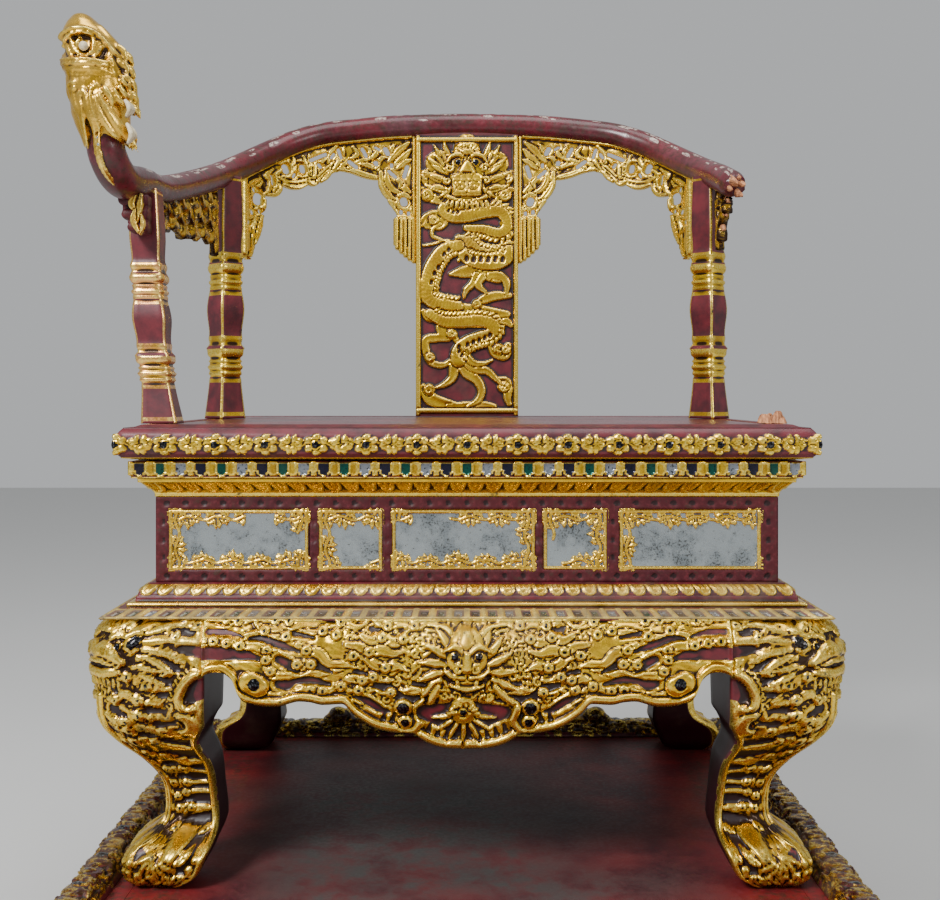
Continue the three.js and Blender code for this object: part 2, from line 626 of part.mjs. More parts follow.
// ---------- pierced spandrels under the rail ----------
const SPANDREL_THICK = 16;
const backCurve = new THREE.CatmullRomCurve3(
  [...railHalf.slice(0, 5)].map(([x, y, z]) => vec(x, y, z)), false, 'centripetal');
const curveAtX = (x) => {
  let [low, high] = [0, 1];
  for (let n = 0; n < 24; n += 1) {
    const mid = (low + high) / 2;
    if (backCurve.getPoint(mid).x < x) low = mid;
    else high = mid;
  }
  const t = (low + high) / 2;
  return { point: backCurve.getPoint(t), tangent: backCurve.getTangent(t) };
};
// Lower edge of the back spandrel from the splat (0) to the rear post (1).
const spandrelLower = profileOf([
  [0, 1052], [0.2, 1052], [0.21, 1079], [0.27, 1106], [0.36, 1116], [0.42, 1112], [0.48, 1119], [0.52, 1103],
  [0.62, 1099], [0.76, 1093], [0.84, 1075], [0.92, 1020], [0.95, 990], [1, 986],
]);
const SPANDREL_X0 = SPLAT_HALF + GAP;
const SPANDREL_X1 = 338;
function backSpandrel() {
  const place = (u, v, side) => {
    const { point, tangent } = curveAtX(THREE.MathUtils.lerp(SPANDREL_X0, SPANDREL_X1, u));
    const out = vec(-tangent.y, tangent.x, 0).normalize();
    const z = THREE.MathUtils.lerp(spandrelLower(u), point.z - 4, v);
    const shift = side === 0 ? -SPANDREL_THICK / 2 : SPANDREL_THICK / 2;
    const inner = u === 0 ? 0 : shift;
    const x = u === 0 ? SPANDREL_X0 : point.x + out.x * inner;
    return vec(x, point.y + (u === 0 ? shift : out.y * inner), z);
  };
  const isOpen = (i, j) => j === 1 && i > 2 && i % 3 === 1 && i < 19;
  return piercedPlate(20, 3, place, isOpen);
}
const postRoom = (sign) => solid(postGeometry(
  vec(sign * REAR_POST_X, REAR_POST_Y, postFoot - 5), vec(sign * 351, REAR_POST_Y, 1100), 0, Math.PI / 4)
  .translate(-sign * 0.5, 0, 0));
for (const [side, sign] of Object.entries(SIDES)) {
  const half = sign > 0 ? backSpandrel() : mirrored(backSpandrel());
  const trimmed = solid(half).subtract(railRoom).subtract(postRoom(sign)).decompose();
  trimmed.sort((a, b) => b.volume() - a.volume());
  piece(`back_spandrel_${side}`, fromSolid(trimmed[0]), 'gilt');
}

// Fluted pendants that hang from the spandrels beside the splat.
const PENDANT_HALF = 13;
for (const [side, sign] of Object.entries(SIDES)) {
  const shape = new THREE.Shape();
  const flutes = 4;
  shape.moveTo(-PENDANT_HALF, 0);
  for (let i = 0; i < flutes; i += 1) {
    const x = -PENDANT_HALF + (2 * PENDANT_HALF * (i + 0.5)) / flutes;
    const drop = i / flutes * 14;
    shape.lineTo(x, -44 - drop - 4);
    shape.lineTo(x + PENDANT_HALF / flutes, -44 - drop);
  }
  shape.lineTo(PENDANT_HALF, 0);
  shape.closePath();
  const geometry = new THREE.ExtrudeGeometry(shape, { depth: 12, bevelEnabled: false });
  geometry.rotateX(Math.PI / 2);
  geometry.translate(-SPLAT_HALF - GAP - PENDANT_HALF, BACK_Y + 4, spandrelLower(0) - GAP);
  piece(`pendant_${side}`, sign > 0 ? mirrored(mergeVertices(geometry)) : geometry, 'gilt');
}

// Side spandrels between the front and rear posts, under the arms.
function sideSpandrel(sign, yFront, lowerEdge, cols) {
  const place = (u, v, side) => {
    const y = THREE.MathUtils.lerp(REAR_POST_Y - 34, yFront, u);
    const x = THREE.MathUtils.lerp(-357, -388, (REAR_POST_Y - y) / 300);
    const top = THREE.MathUtils.lerp(1094, 1034, (REAR_POST_Y - y) / 300);
    const shift = side === 0 ? -SPANDREL_THICK / 2 : SPANDREL_THICK / 2;
    return vec(x + shift, y, THREE.MathUtils.lerp(lowerEdge(u), top, v));
  };
  const geometry = piercedPlate(cols, 3, place, (i, j) => j === 1 && i % 3 === 1 && i < cols - 1);
  const placed = sign > 0 ? mirrored(geometry) : geometry;
  const trimmed = solid(placed).subtract(railRoom).decompose();
  trimmed.sort((a, b) => b.volume() - a.volume());
  return fromSolid(trimmed[0]);
}
piece('side_spandrel_left', sideSpandrel(-1, -225, profileOf([
  [0, 985], [0.1, 1000], [0.3, 1012], [0.5, 990], [0.6, 995], [0.8, 985], [1, 978]]), 12), 'gilt');
piece('side_spandrel_right_broken', sideSpandrel(1, -22, profileOf([
  [0, 975], [0.3, 985], [0.7, 1008], [1, 1030]]), 4), 'gilt');

// Small stepped bracket in front of the front left post.
const bracketShape = new THREE.Shape();
bracketShape.moveTo(0, 0);
for (const [y, z] of [[-34, 0], [-34, -8], [-26, -12], [-26, -22], [-14, -26], [-12, -40], [0, -44]]) {
  bracketShape.lineTo(y, z);
}
bracketShape.closePath();
const bracket = new THREE.ExtrudeGeometry(bracketShape, { depth: 22, bevelEnabled: false });
bracket.rotateX(Math.PI / 2);
bracket.rotateZ(Math.PI / 2);
bracket.translate(-399, FRONT_POST.y - 22, 1010);
piece('front_bracket_left', underRail(bracket), 'lacquer');

export default whole;
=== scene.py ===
"""Looks for the carved, lacquered and gilded throne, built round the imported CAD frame.

Shapes are in millimetres from the throne's centre line and turned to metres when a mesh is made.
Carving is drawn as strokes on a Relief, a field of heights over a surface, which is then wrapped on
to the leg, apron, board or moulding that carries it.

Ten lists were made by scratch scripts, from points picked on the photograph, and some of their
points altered afterwards: SPLAT_CLOUDS, SPLAT_BODY, SPLAT_RIBBONS, SPLAT_CURLS, SPLAT_GOUGES,
SPANDREL_EDGE, SPANDREL_LEAVES, SPANDREL_OPENINGS, HEAD_RIDGES and HEAD_LOCKS.
"""
import math

import bpy
import numpy as np
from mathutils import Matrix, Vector


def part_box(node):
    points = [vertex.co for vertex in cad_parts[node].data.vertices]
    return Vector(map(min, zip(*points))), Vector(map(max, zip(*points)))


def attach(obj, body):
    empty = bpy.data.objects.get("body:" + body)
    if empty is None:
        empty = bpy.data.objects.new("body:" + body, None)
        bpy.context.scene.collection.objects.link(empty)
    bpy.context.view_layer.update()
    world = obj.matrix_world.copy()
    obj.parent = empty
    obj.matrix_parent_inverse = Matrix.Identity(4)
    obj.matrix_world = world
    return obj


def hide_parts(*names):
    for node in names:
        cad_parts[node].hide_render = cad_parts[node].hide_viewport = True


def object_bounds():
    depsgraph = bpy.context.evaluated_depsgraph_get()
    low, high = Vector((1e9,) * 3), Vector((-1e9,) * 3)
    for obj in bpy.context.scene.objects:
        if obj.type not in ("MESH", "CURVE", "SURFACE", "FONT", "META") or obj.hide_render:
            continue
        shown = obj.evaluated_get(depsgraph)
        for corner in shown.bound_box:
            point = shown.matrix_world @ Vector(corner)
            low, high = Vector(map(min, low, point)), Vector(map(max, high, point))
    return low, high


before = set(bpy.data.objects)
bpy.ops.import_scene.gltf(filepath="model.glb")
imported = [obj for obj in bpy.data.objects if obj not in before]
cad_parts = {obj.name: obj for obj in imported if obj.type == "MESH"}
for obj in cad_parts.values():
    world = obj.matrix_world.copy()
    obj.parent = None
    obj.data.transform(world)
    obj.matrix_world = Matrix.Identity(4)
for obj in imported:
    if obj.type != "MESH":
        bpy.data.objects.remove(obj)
START_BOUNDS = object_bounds()

MM = 1000.0


def node_box(name):
    """The low and high corners of a CAD node, in millimetres."""
    low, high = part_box(name)
    return np.array(low) * MM, np.array(high) * MM


# ---------- sizes read from the frame, in millimetres ----------
seat_low, seat_high = node_box("seat_board")
THRONE_Y = (seat_low[1] + seat_high[1]) / 2
SEAT_HALF = (seat_high[0] - seat_low[0]) / 2
HALF_DIFFERENCE = SEAT_HALF - (seat_high[1] - seat_low[1]) / 2
SEAT_TOP = seat_high[2]
SEAT_BOTTOM = seat_low[2]
DECK = node_box("platform")[1][2]
LEG_TOP = node_box("leg_front_right")[1][2]
LEG_INNER = node_box("apron_front")[1][0]
waist_low, waist_high = node_box("waist_box")
WAIST_HALF = waist_high[0]
WAIST_BOTTOM = waist_low[2]
WAIST_TOP = waist_high[2]
KNEE = 437.0


# ---------- small curve and grid helpers ----------
def smooth_path(points, spacing=1.0):
    """Points along a Catmull-Rom curve through the given ones, about `spacing` apart."""
    points = np.asarray(points, float)
    if len(points) < 3:
        count = max(2, int(np.linalg.norm(points[-1] - points[0]) / spacing) + 1)
        return points[0] + (points[-1] - points[0]) * np.linspace(0, 1, count)[:, None]
    ends = np.vstack([2 * points[0] - points[1], points, 2 * points[-1] - points[-2]])
    pieces = []
    for a, b, c, d in zip(ends, ends[1:], ends[2:], ends[3:]):
        count = max(2, int(np.linalg.norm(c - b) / spacing) + 1)
        t = np.linspace(0, 1, count, endpoint=False)[:, None]
        pieces.append(0.5 * (2 * b + (c - a) * t + (2 * a - 5 * b + 4 * c - d) * t**2
                             + (3 * b - a - 3 * c + d) * t**3))
    return np.vstack(pieces + [points[-1:]])


def profile_of(pairs):
    """A smooth function through [position, value] pairs."""
    knots = np.array(pairs, float)
    t, v = knots[:, 0], knots[:, 1]
    slope = np.gradient(v, t)
    secant = np.diff(v) / np.diff(t)
    for i in range(1, len(v) - 1):
        if secant[i - 1] * secant[i] <= 0:
            slope[i] = 0
        else:
            slope[i] = np.sign(slope[i]) * min(abs(slope[i]), 3 * abs(secant[i - 1]), 3 * abs(secant[i]))

    def value(x):
        x = np.clip(np.asarray(x, float), t[0], t[-1])
        i = np.clip(np.searchsorted(t, x, side="right") - 1, 0, len(t) - 2)
        gap = t[i + 1] - t[i]
        k = (x - t[i]) / gap
        return (v[i] * (2 * k**3 - 3 * k**2 + 1) + slope[i] * gap * (k**3 - 2 * k**2 + k)
                + v[i + 1] * (3 * k**2 - 2 * k**3) + slope[i + 1] * gap * (k**3 - k**2))
    return value


def smoothstep(low, high, x):
    t = np.clip((x - low) / (high - low), 0, 1)
    return t * t * (3 - 2 * t)


class Relief:
    """Carving drawn with strokes: heights, a gilt mask, a bead mask and a signed cover, on a grid."""

    def __init__(self, x0, x1, z0, z1, step):
        self.x0, self.z0, self.step = x0, z0, step
        self.xs = np.arange(x0, x1 + step, step)
        self.zs = np.arange(z0, z1 + step, step)
        shape = (len(self.zs), len(self.xs))
        self.height = np.zeros(shape)
        self.gold = np.zeros(shape)
        self.bead = np.zeros(shape)
        self.cover = np.full(shape, -9.0)

    def trace(self, points, width, margin):
        """The grid near a stroke: how far inside its edge, across it and along it each point is."""
        path = smooth_path(points, self.step * 0.8)
        share = np.linspace(0, 1, len(path))
        widths = np.atleast_1d(np.asarray(width, float))
        radius = np.interp(share, np.linspace(0, 1, len(widths)), widths) / 2
        reach = radius.max() + margin + self.step
        i0 = max(0, int((path[:, 0].min() - reach - self.x0) / self.step))
        i1 = min(len(self.xs), int((path[:, 0].max() + reach - self.x0) / self.step) + 2)
        j0 = max(0, int((path[:, 1].min() - reach - self.z0) / self.step))
        j1 = min(len(self.zs), int((path[:, 1].max() + reach - self.z0) / self.step) + 2)
        if i0 >= i1 or j0 >= j1:
            return None
        shape = (j1 - j0, i1 - i0)
        inside = np.full(shape, -9.0)
        across = np.full(shape, 2.0)
        along = np.zeros(shape)
        length = np.concatenate([[0], np.cumsum(np.linalg.norm(np.diff(path, axis=0), axis=1))])
        for (px, pz), r, s in zip(path, radius, length):
            a0 = max(i0, int((px - r - margin - self.x0) / self.step))
            a1 = min(i1, int((px + r + margin - self.x0) / self.step) + 2)
            b0 = max(j0, int((pz - r - margin - self.z0) / self.step))
            b1 = min(j1, int((pz + r + margin - self.z0) / self.step) + 2)
            if a0 >= a1 or b0 >= b1:
                continue
            d = np.hypot(self.xs[a0:a1][None, :] - px, self.zs[b0:b1][:, None] - pz)
            window = (slice(b0 - j0, b1 - j0), slice(a0 - i0, a1 - i0))
            closer = r - d > inside[window]
            inside[window] = np.where(closer, r - d, inside[window])
            across[window] = np.where(closer, d / max(r, 0.01), across[window])
            along[window] = np.where(closer, s, along[window])
        return (slice(j0, j1), slice(i0, i1)), inside, across, along

    def band(self, points, width, height=3.0, lift=0.0, groove=0.9, flat=0.6, vein=0.0, scales=0.0,
             sink=1.6,
             hollow=0.0):
        """A rounded stroke with a groove cut round it; width is one number or several along its points."""
        traced = self.trace(points, width, groove)
        if traced is None:
            return
        area, inside, across, along = traced
        near = inside > -groove
        on = inside > 0
        h = self.height[area]
        h[near] = np.minimum(h[near], max(0.0, lift + 0.4 * height - sink))
        crown = np.sqrt(np.clip(1 - across**2, 0, 1)) ** flat
        top = lift + height * crown
        if vein:
            top -= vein * np.exp(-(across / 0.22) ** 2)
        if hollow:
            top -= hollow * np.exp(-(across / 0.5) ** 4)
        if scales:
            rows = np.abs(np.sin(math.pi * along / 5.2 + 1.3 * across**2))
            top -= scales * (1 - rows) * (across < 0.82)
        h[on] = top[on]
        self.gold[area][inside > -0.4] = 1
        self.bead[area][on] = 0
        self.cover[area] = np.maximum(self.cover[area], inside)

    def sheet(self, height, ripple=0.0, pitch=14.0, seed=1):
        """Gilt all over at one height, with a gentle random swell."""
        x, z = np.meshgrid(self.xs, self.zs)
        rng = np.random.default_rng(seed)
        swell = np.zeros_like(x)
        for _ in range(7):
            angle, phase = rng.random(2) * 2 * math.pi
            wave = 2 * math.pi / (pitch * (0.6 + rng.random()))
            swell += np.sin(wave * (x * math.cos(angle) + z * math.sin(angle)) + phase)
        self.height[:] = height + ripple * swell / 3
        self.gold[:] = 1

    def fill(self, low, high, height, ripple=0.0, seed=1):
        """Gilt ground between two outlines, low(x) and high(x)."""
        self.sheet(height, ripple, 16.0, seed)
        x, z = np.meshgrid(self.xs, self.zs)
        inside = np.clip(np.minimum(high(x) - z, z - low(x)), -9, 9)
        self.cover = inside
        self.height = np.where(inside > -2, self.height, 0)
        self.gold = np.where(inside > -2, 1.0, 0.0)

    def pierce(self, points, width):
        """An opening right through, with a rounded lip."""
        traced = self.trace(points, width, 2.5)
        if traced is None:
            return
        area, inside, _, _ = traced
        self.cover[area] = np.minimum(self.cover[area], -inside)
        self.height[area] *= 1 - 0.45 * smoothstep(-2.5, 0.2, inside)

    def cut(self, points, width, gold=0.0, depth=0.0):
        """An opening cut down to the ground, with a rounded lip."""
        traced = self.trace(points, width, 1.8)
        if traced is None:
            return
        area, inside, _, _ = traced
        h = self.height[area]
        lip = smoothstep(-1.8, 0.3, inside)
        self.height[area] = h * (1 - lip) + depth * lip
        self.gold[area] = np.where(inside > 0, gold, self.gold[area])
        self.bead[area] = np.where(inside > -0.5, 0, self.bead[area])

    def spiral(self, x, z, radius, turns=1.4, start=0.0, hand=1, width=None, height=3.0, lift=0.0):
        """A curl that winds in to (x, z)."""
        width = width or radius * 0.5
        t = np.linspace(0, 1, int(14 * turns) + 6)
        angle = start + hand * 2 * math.pi * turns * t
        reach = radius * (1 - 0.82 * t)
        self.band(np.column_stack([x + reach * np.cos(angle), z + reach * np.sin(angle)]),
                  (width, width * 0.85, width * 0.6), height, lift)

    def stud(self, x, z, radius, height=3.0, lift=0.0, collar=True):
        """A set bead: a gilt collar round a dark dome."""
        if collar:
            self.band([(x, z), (x + 0.01, z)], 2 * radius + 2.6, height * 0.6, lift, flat=0.4)
        reach = radius + self.step
        i0, i1 = np.searchsorted(self.xs, [x - reach, x + reach])
        j0, j1 = np.searchsorted(self.zs, [z - reach, z + reach])
        if i0 == i1 or j0 == j1:
            return
        d = np.hypot(self.xs[i0:i1][None, :] - x, self.zs[j0:j1][:, None] - z) / radius
        area = (slice(j0, j1), slice(i0, i1))
        on = d < 1
        self.height[area][on] = (lift + height * (0.1 + 0.7 * np.sqrt(np.clip(1 - d**2, 0, 1))))[on]
        self.bead[area][on] = 1

    def leaf(self, x, z, angle, length, width, height=3.0, lift=0.0, bend=0.3):
        """A flame or leaf that starts at (x, z) and tapers off along angle, with a vein."""
        t = np.array([0, 0.33, 0.66, 1.0])
        turn = angle + bend * t
        xs = x + np.cumsum(np.concatenate([[0], np.cos(turn[1:]) * length / 3]))
        zs = z + np.cumsum(np.concatenate([[0], np.sin(turn[1:]) * length / 3]))
        self.band(np.column_stack([xs, zs]), (width * 0.6, width, width * 0.7, 0.6), height, lift,
                  vein=0.5)

    def sample(self, field, x, z):
        """field read at any (x, z), between its grid points."""
        u = np.clip((x - self.x0) / self.step, 0, len(self.xs) - 1.001)
        v = np.clip((z - self.z0) / self.step, 0, len(self.zs) - 1.001)
        i, j = u.astype(int), v.astype(int)
        a, b = u - i, v - j
        return ((field[j, i] * (1 - a) + field[j, i + 1] * a) * (1 - b)
                + (field[j + 1, i] * (1 - a) + field[j + 1, i + 1] * a) * b)

    def read(self, x, z):
        """Heights and the gilt and bead masks at any points."""
        return {"height": self.sample(self.height, x, z), "gold": self.sample(self.gold, x, z),
                "bead": self.sample(self.bead, x, z)}


# ---------- meshes ----------
def cavities(verts, edges, normals, rounds=7):
    """How far each point stands out of (+) or lies in (-) the surface round it, in millimetres."""
    count = np.bincount(edges.ravel(), minlength=len(verts)).clip(1)
    soft = verts.copy()
    for _ in range(rounds):
        total = np.zeros_like(soft)
        for axis in range(3):
            total[:, axis] = (np.bincount(edges[:, 0], soft[edges[:, 1], axis], len(verts))
                              + np.bincount(edges[:, 1], soft[edges[:, 0], axis], len(verts)))
        soft = total / count[:, None]
    return np.einsum("ij,ij->i", verts - soft, normals)


def set_attribute(mesh, name, values):
    layer = mesh.attributes.new(name, "FLOAT", "POINT")
    layer.data.foreach_set("value", np.ascontiguousarray(values, np.float32))


def make_mesh(name, verts, faces, material, extra=None, replaces=(), sharp=None):
    """A mesh piece from points in millimetres round the throne's centre line."""
    verts = np.asarray(verts, float) + (0, THRONE_Y, 0)
    mesh = bpy.data.meshes.new(name)
    mesh.from_pydata(np.clip(verts / MM, *START_BOUNDS).tolist(), [], [list(f) for f in faces])
    mesh.validate()
    mesh.update()
    for key, values in (extra or {}).items():
        set_attribute(mesh, key, values)
    finish_mesh(mesh, sharp)
    obj = bpy.data.objects.new(name, mesh)
    bpy.context.scene.collection.objects.link(obj)
    mesh.materials.append(material)
    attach(obj, "root")
    if replaces:
        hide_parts(*replaces)
    return obj


def finish_mesh(mesh, sharp=None):
    """Smooth shading and the cavity attribute that the finishes read."""
    count = len(mesh.vertices)
    verts = np.empty(count * 3, np.float32)
    mesh.vertices.foreach_get("co", verts)
    normals = np.empty(count * 3, np.float32)
    mesh.vertex_normals.foreach_get("vector", normals)
    edges = np.empty(len(mesh.edges) * 2, np.int32)
    mesh.edges.foreach_get("vertices", edges)
    depth = cavities(verts.reshape(-1, 3) * MM, edges.reshape(-1, 2), normals.reshape(-1, 3))
    set_attribute(mesh, "cavity", depth)
    mesh.shade_smooth()
    if sharp:
        mesh.set_sharp_from_angle(angle=math.radians(sharp))


def grid_faces(rows, cols, wrap=False):
    """Quads of a grid of points numbered row by row; wrap joins the last column to the first."""
    j, i = np.meshgrid(np.arange(rows - 1), np.arange(cols if wrap else cols - 1), indexing="ij")
    a = j * cols + i
    b = j * cols + (i + 1) % cols
    return np.stack([a, b, b + cols, a + cols], axis=-1).reshape(-1, 4)


def closed_tube(rings):
    """Points and faces of a tube with its ends filled, facing out."""
    rows, cols = rings.shape[:2]
    faces = grid_faces(rows, cols, wrap=True).tolist()
    faces += [list(range(cols))[::-1], list(range((rows - 1) * cols, rows * cols))]
    verts = rings.reshape(-1, 3)
    return verts, faces


def plate_mesh(front, back):
    """Points and faces of a closed plate: a grid of front points, and one back point for each edge point."""
    rows, cols = front.shape[:2]
    at = np.arange(rows * cols).reshape(rows, cols)
    rim = np.concatenate([at[0, :-1], at[:-1, -1], at[-1, :0:-1], at[:0:-1, 0]])
    verts = np.vstack([front.reshape(-1, 3), back.reshape(-1, 3)[rim]])
    first = rows * cols
    n = len(rim)
    faces = grid_faces(rows, cols).tolist()
    for k in range(n):
        nxt = (k + 1) % n
        faces.append([rim[k], first + k, first + nxt, rim[nxt]])
    faces.append(list(range(first + n - 1, first - 1, -1)))
    return verts, faces, rim


def over_rim(values, rim_points):
    """The values of a plate's carved face, followed by zeros for its rim."""
    return np.concatenate([values.ravel(), np.zeros(len(rim_points))])


def turned(verts, quarter):
    """Points turned by so many quarter turns about the upright axis."""
    c, s = round(math.cos(quarter * math.pi / 2)), round(math.sin(quarter * math.pi / 2))
    out = np.array(verts, float)
    out[..., 0], out[..., 1] = c * verts[..., 0] - s * verts[..., 1], s * verts[..., 0] + c * verts[..., 1]
    return out


# ---------- finishes ----------
def new_material(name):
    material = bpy.data.materials.new(name)
    material.use_nodes = True
    tree = material.node_tree
    tree.nodes.clear()
    out = tree.nodes.new("ShaderNodeOutputMaterial")
    shader = tree.nodes.new("ShaderNodeBsdfPrincipled")
    tree.links.new(shader.outputs[0], out.inputs[0])
    return material, tree, shader


class Nodes:
    """Short names for the shader nodes that the finishes share."""

    def __init__(self, tree):
        self.tree = tree
        self.coord = tree.nodes.new("ShaderNodeTexCoord").outputs["Object"]

    def link(self, value, socket):
        if hasattr(value, "is_output"):
            self.tree.links.new(value, socket)
        else:
            socket.default_value = value

    def noise(self, scale, detail=4.0, rough=0.55, stretch=(1, 1, 1)):
        mapping = self.tree.nodes.new("ShaderNodeMapping")
        mapping.inputs["Scale"].default_value = stretch
        self.tree.links.new(self.coord, mapping.inputs[0])
        node = self.tree.nodes.new("ShaderNodeTexNoise")
        self.tree.links.new(mapping.outputs[0], node.inputs["Vector"])
        node.inputs["Scale"].default_value = scale
        node.inputs["Detail"].default_value = detail
        node.inputs["Roughness"].default_value = rough
        return node.outputs["Fac"]

    def attribute(self, name):
        node = self.tree.nodes.new("ShaderNodeAttribute")
        node.attribute_name = name
        return node.outputs["Fac"]

    def spread(self, value, low, high, out_low=0.0, out_high=1.0):
        node = self.tree.nodes.new("ShaderNodeMapRange")
        node.interpolation_type = "SMOOTHSTEP"
        for key, v in (("From Min", low), ("From Max", high), ("To Min", out_low), ("To Max", out_high)):
            node.inputs[key].default_value = v
        self.link(value, node.inputs["Value"])
        return node.outputs["Result"]

    def math(self, operation, a, b):
        node = self.tree.nodes.new("ShaderNodeMath")
        node.operation = operation
        node.use_clamp = operation != "SUBTRACT"
        self.link(a, node.inputs[0])
        self.link(b, node.inputs[1])
        return node.outputs[0]

    def mix(self, factor, a, b):
        node = self.tree.nodes.new("ShaderNodeMix")
        node.data_type = "RGBA"
        self.link(factor, node.inputs[0])
        self.link(a, node.inputs[6])
        self.link(b, node.inputs[7])
        return node.outputs[2]

    def blend(self, factor, a, b):
        node = self.tree.nodes.new("ShaderNodeMix")
        node.data_type = "FLOAT"
        self.link(factor, node.inputs[0])
        self.link(a, node.inputs[2])
        self.link(b, node.inputs[3])
        return node.outputs[0]

    def bump(self, height, distance, strength=1.0):
        node = self.tree.nodes.new("ShaderNodeBump")
        node.inputs["Strength"].default_value = strength
        node.inputs["Distance"].default_value = distance
        self.tree.links.new(height, node.inputs["Height"])
        return node.outputs["Normal"]


def rgb(r, g, b):
    """A colour given as 0-255 screen values."""
    return tuple(((c / 255 + 0.055) / 1.055) ** 2.4 if c > 10 else c / 3294.6 for c in (r, g, b)) + (1.0,)


LACQUER = rgb(104, 28, 38)
LACQUER_LIGHT = rgb(126, 48, 58)
LACQUER_DARK = rgb(62, 14, 24)
GOLD = rgb(242, 198, 44)
GOLD_DEEP = rgb(208, 160, 44)
GOLD_PAINTED_HIGHLIGHT = rgb(255, 234, 124)
# Brown of real patina where the gilt is worn away, and of painted shade in the hollows of the gold.
PATINA_AND_SHADE = rgb(48, 26, 8)
BLACK = rgb(20, 15, 12)
DUST = rgb(104, 90, 70)


def carved_finish(name, dust=0.0, wear=0.5, tint=GOLD, lost=0.67, soft=1.0):
    """Gold leaf on lacquer ground: reads the gold, bead and cavity attributes of the carving.

    Where the grime attribute is set dust lies on the gold, and where shade is set the ground is near black.
    """
    material, tree, shader = new_material(name)
    n = Nodes(tree)
    cavity = n.attribute("cavity")
    grain = n.noise(420, 3)
    patch = n.noise(38, 5, 0.6)
    broad = n.noise(9, 3)
    leaf = n.mix(n.spread(patch, 0.35, 0.68), GOLD_DEEP, tint)
    # Painted highlight: raised ridges turn towards a paler gold.
    leaf = n.mix(n.spread(cavity, 0.15, 1.1, 0.0, 0.8), leaf,
                 n.mix(n.spread(grain, 0.3, 0.7), tint, GOLD_PAINTED_HIGHLIGHT))
    # Painted shade: in hollows the gold darkens towards patina brown, partly real patina and partly painted
    # shade, and loses some metal; a larger soft leaves shallow hollows unshaded.
    hollow = n.spread(cavity, -0.07 * soft, -0.8 * soft)
    leaf = n.mix(hollow, leaf, PATINA_AND_SHADE)
    rubbed = n.math("MULTIPLY", n.spread(cavity, 0.35, 1.0),
                    n.spread(n.noise(60, 6, 0.7), 0.62 - 0.1 * wear, 0.70))
    leaf = n.mix(rubbed, leaf, BLACK)
    bare = n.math("MULTIPLY", n.spread(n.noise(75, 6, 0.72), lost, lost + 0.07),
                  n.spread(broad, lost - 0.2, lost - 0.1))
    leaf = n.mix(bare, leaf, n.mix(n.spread(grain, 0.4, 0.6), LACQUER_DARK, PATINA_AND_SHADE))
    ground = n.mix(n.spread(patch, 0.3, 0.7), LACQUER_DARK, LACQUER)
    # Painted shade: the red ground goes near black in hollows.
    ground = n.mix(hollow, ground, rgb(30, 9, 12))
    shade = n.attribute("shade")
    ground = n.mix(shade, ground, rgb(44, 11, 17))
    gold = n.spread(n.attribute("gold"), 0.35, 0.65)
    bead = n.spread(n.attribute("bead"), 0.4, 0.6)
    colour = n.mix(gold, ground, leaf)
    colour = n.mix(bead, colour, n.mix(n.spread(grain, 0.45, 0.7), rgb(26, 24, 26), rgb(92, 94, 98)))
    glass = n.spread(n.attribute("glass"), 0.4, 0.6)
    hue = n.attribute("hue")
    # Dark blue, clear and green panes, each darker than its glass: painted shade like that under the seat's
    # overhang.
    pane = n.mix(n.spread(hue, 0.42, 0.46), rgb(34, 34, 52),
                 n.mix(n.spread(hue, 0.68, 0.72), rgb(138, 144, 152),
                                                                  rgb(12, 78, 66)))
    pane = n.mix(n.spread(n.noise(300, 4, 0.7), 0.55, 0.62), pane, rgb(24, 24, 30))
    colour = n.mix(glass, colour, pane)
    bare_metal = n.math("SUBTRACT", gold, n.math("MAXIMUM", rubbed, bare))
    metal = n.blend(hollow, bare_metal, n.math("MULTIPLY", bare_metal, 0.6))
    metal = n.blend(glass, metal, 0.6)
    rough = n.blend(gold, 0.42, n.spread(grain, 0.3, 0.7, 0.2, 0.32))
    if dust:
        film = n.spread(n.noise(16, 6, 0.65), 0.52 - 0.2 * dust, 0.70, 0.0, min(1.0, dust))
        grime = n.math("MULTIPLY", n.attribute("grime"),
                       n.spread(n.noise(30, 6, 0.7), 0.3, 0.6, 0.25, 0.8))
        film = n.math("MAXIMUM", film, grime)
        colour = n.mix(film, colour, DUST)
        metal = n.blend(film, metal, 0.1)
        rough = n.blend(film, rough, 0.8)
    n.link(colour, shader.inputs["Base Color"])
    n.link(n.math("MINIMUM", metal, 0.95), shader.inputs["Metallic"])
    n.link(n.blend(n.math("MAXIMUM", bead, glass), rough, 0.16), shader.inputs["Roughness"])
    n.link(n.blend(shade, 0.5, 0.12), shader.inputs["Specular IOR Level"])
    n.link(n.bump(n.noise(700, 2), 0.0003, 0.25), shader.inputs["Normal"])
    return material


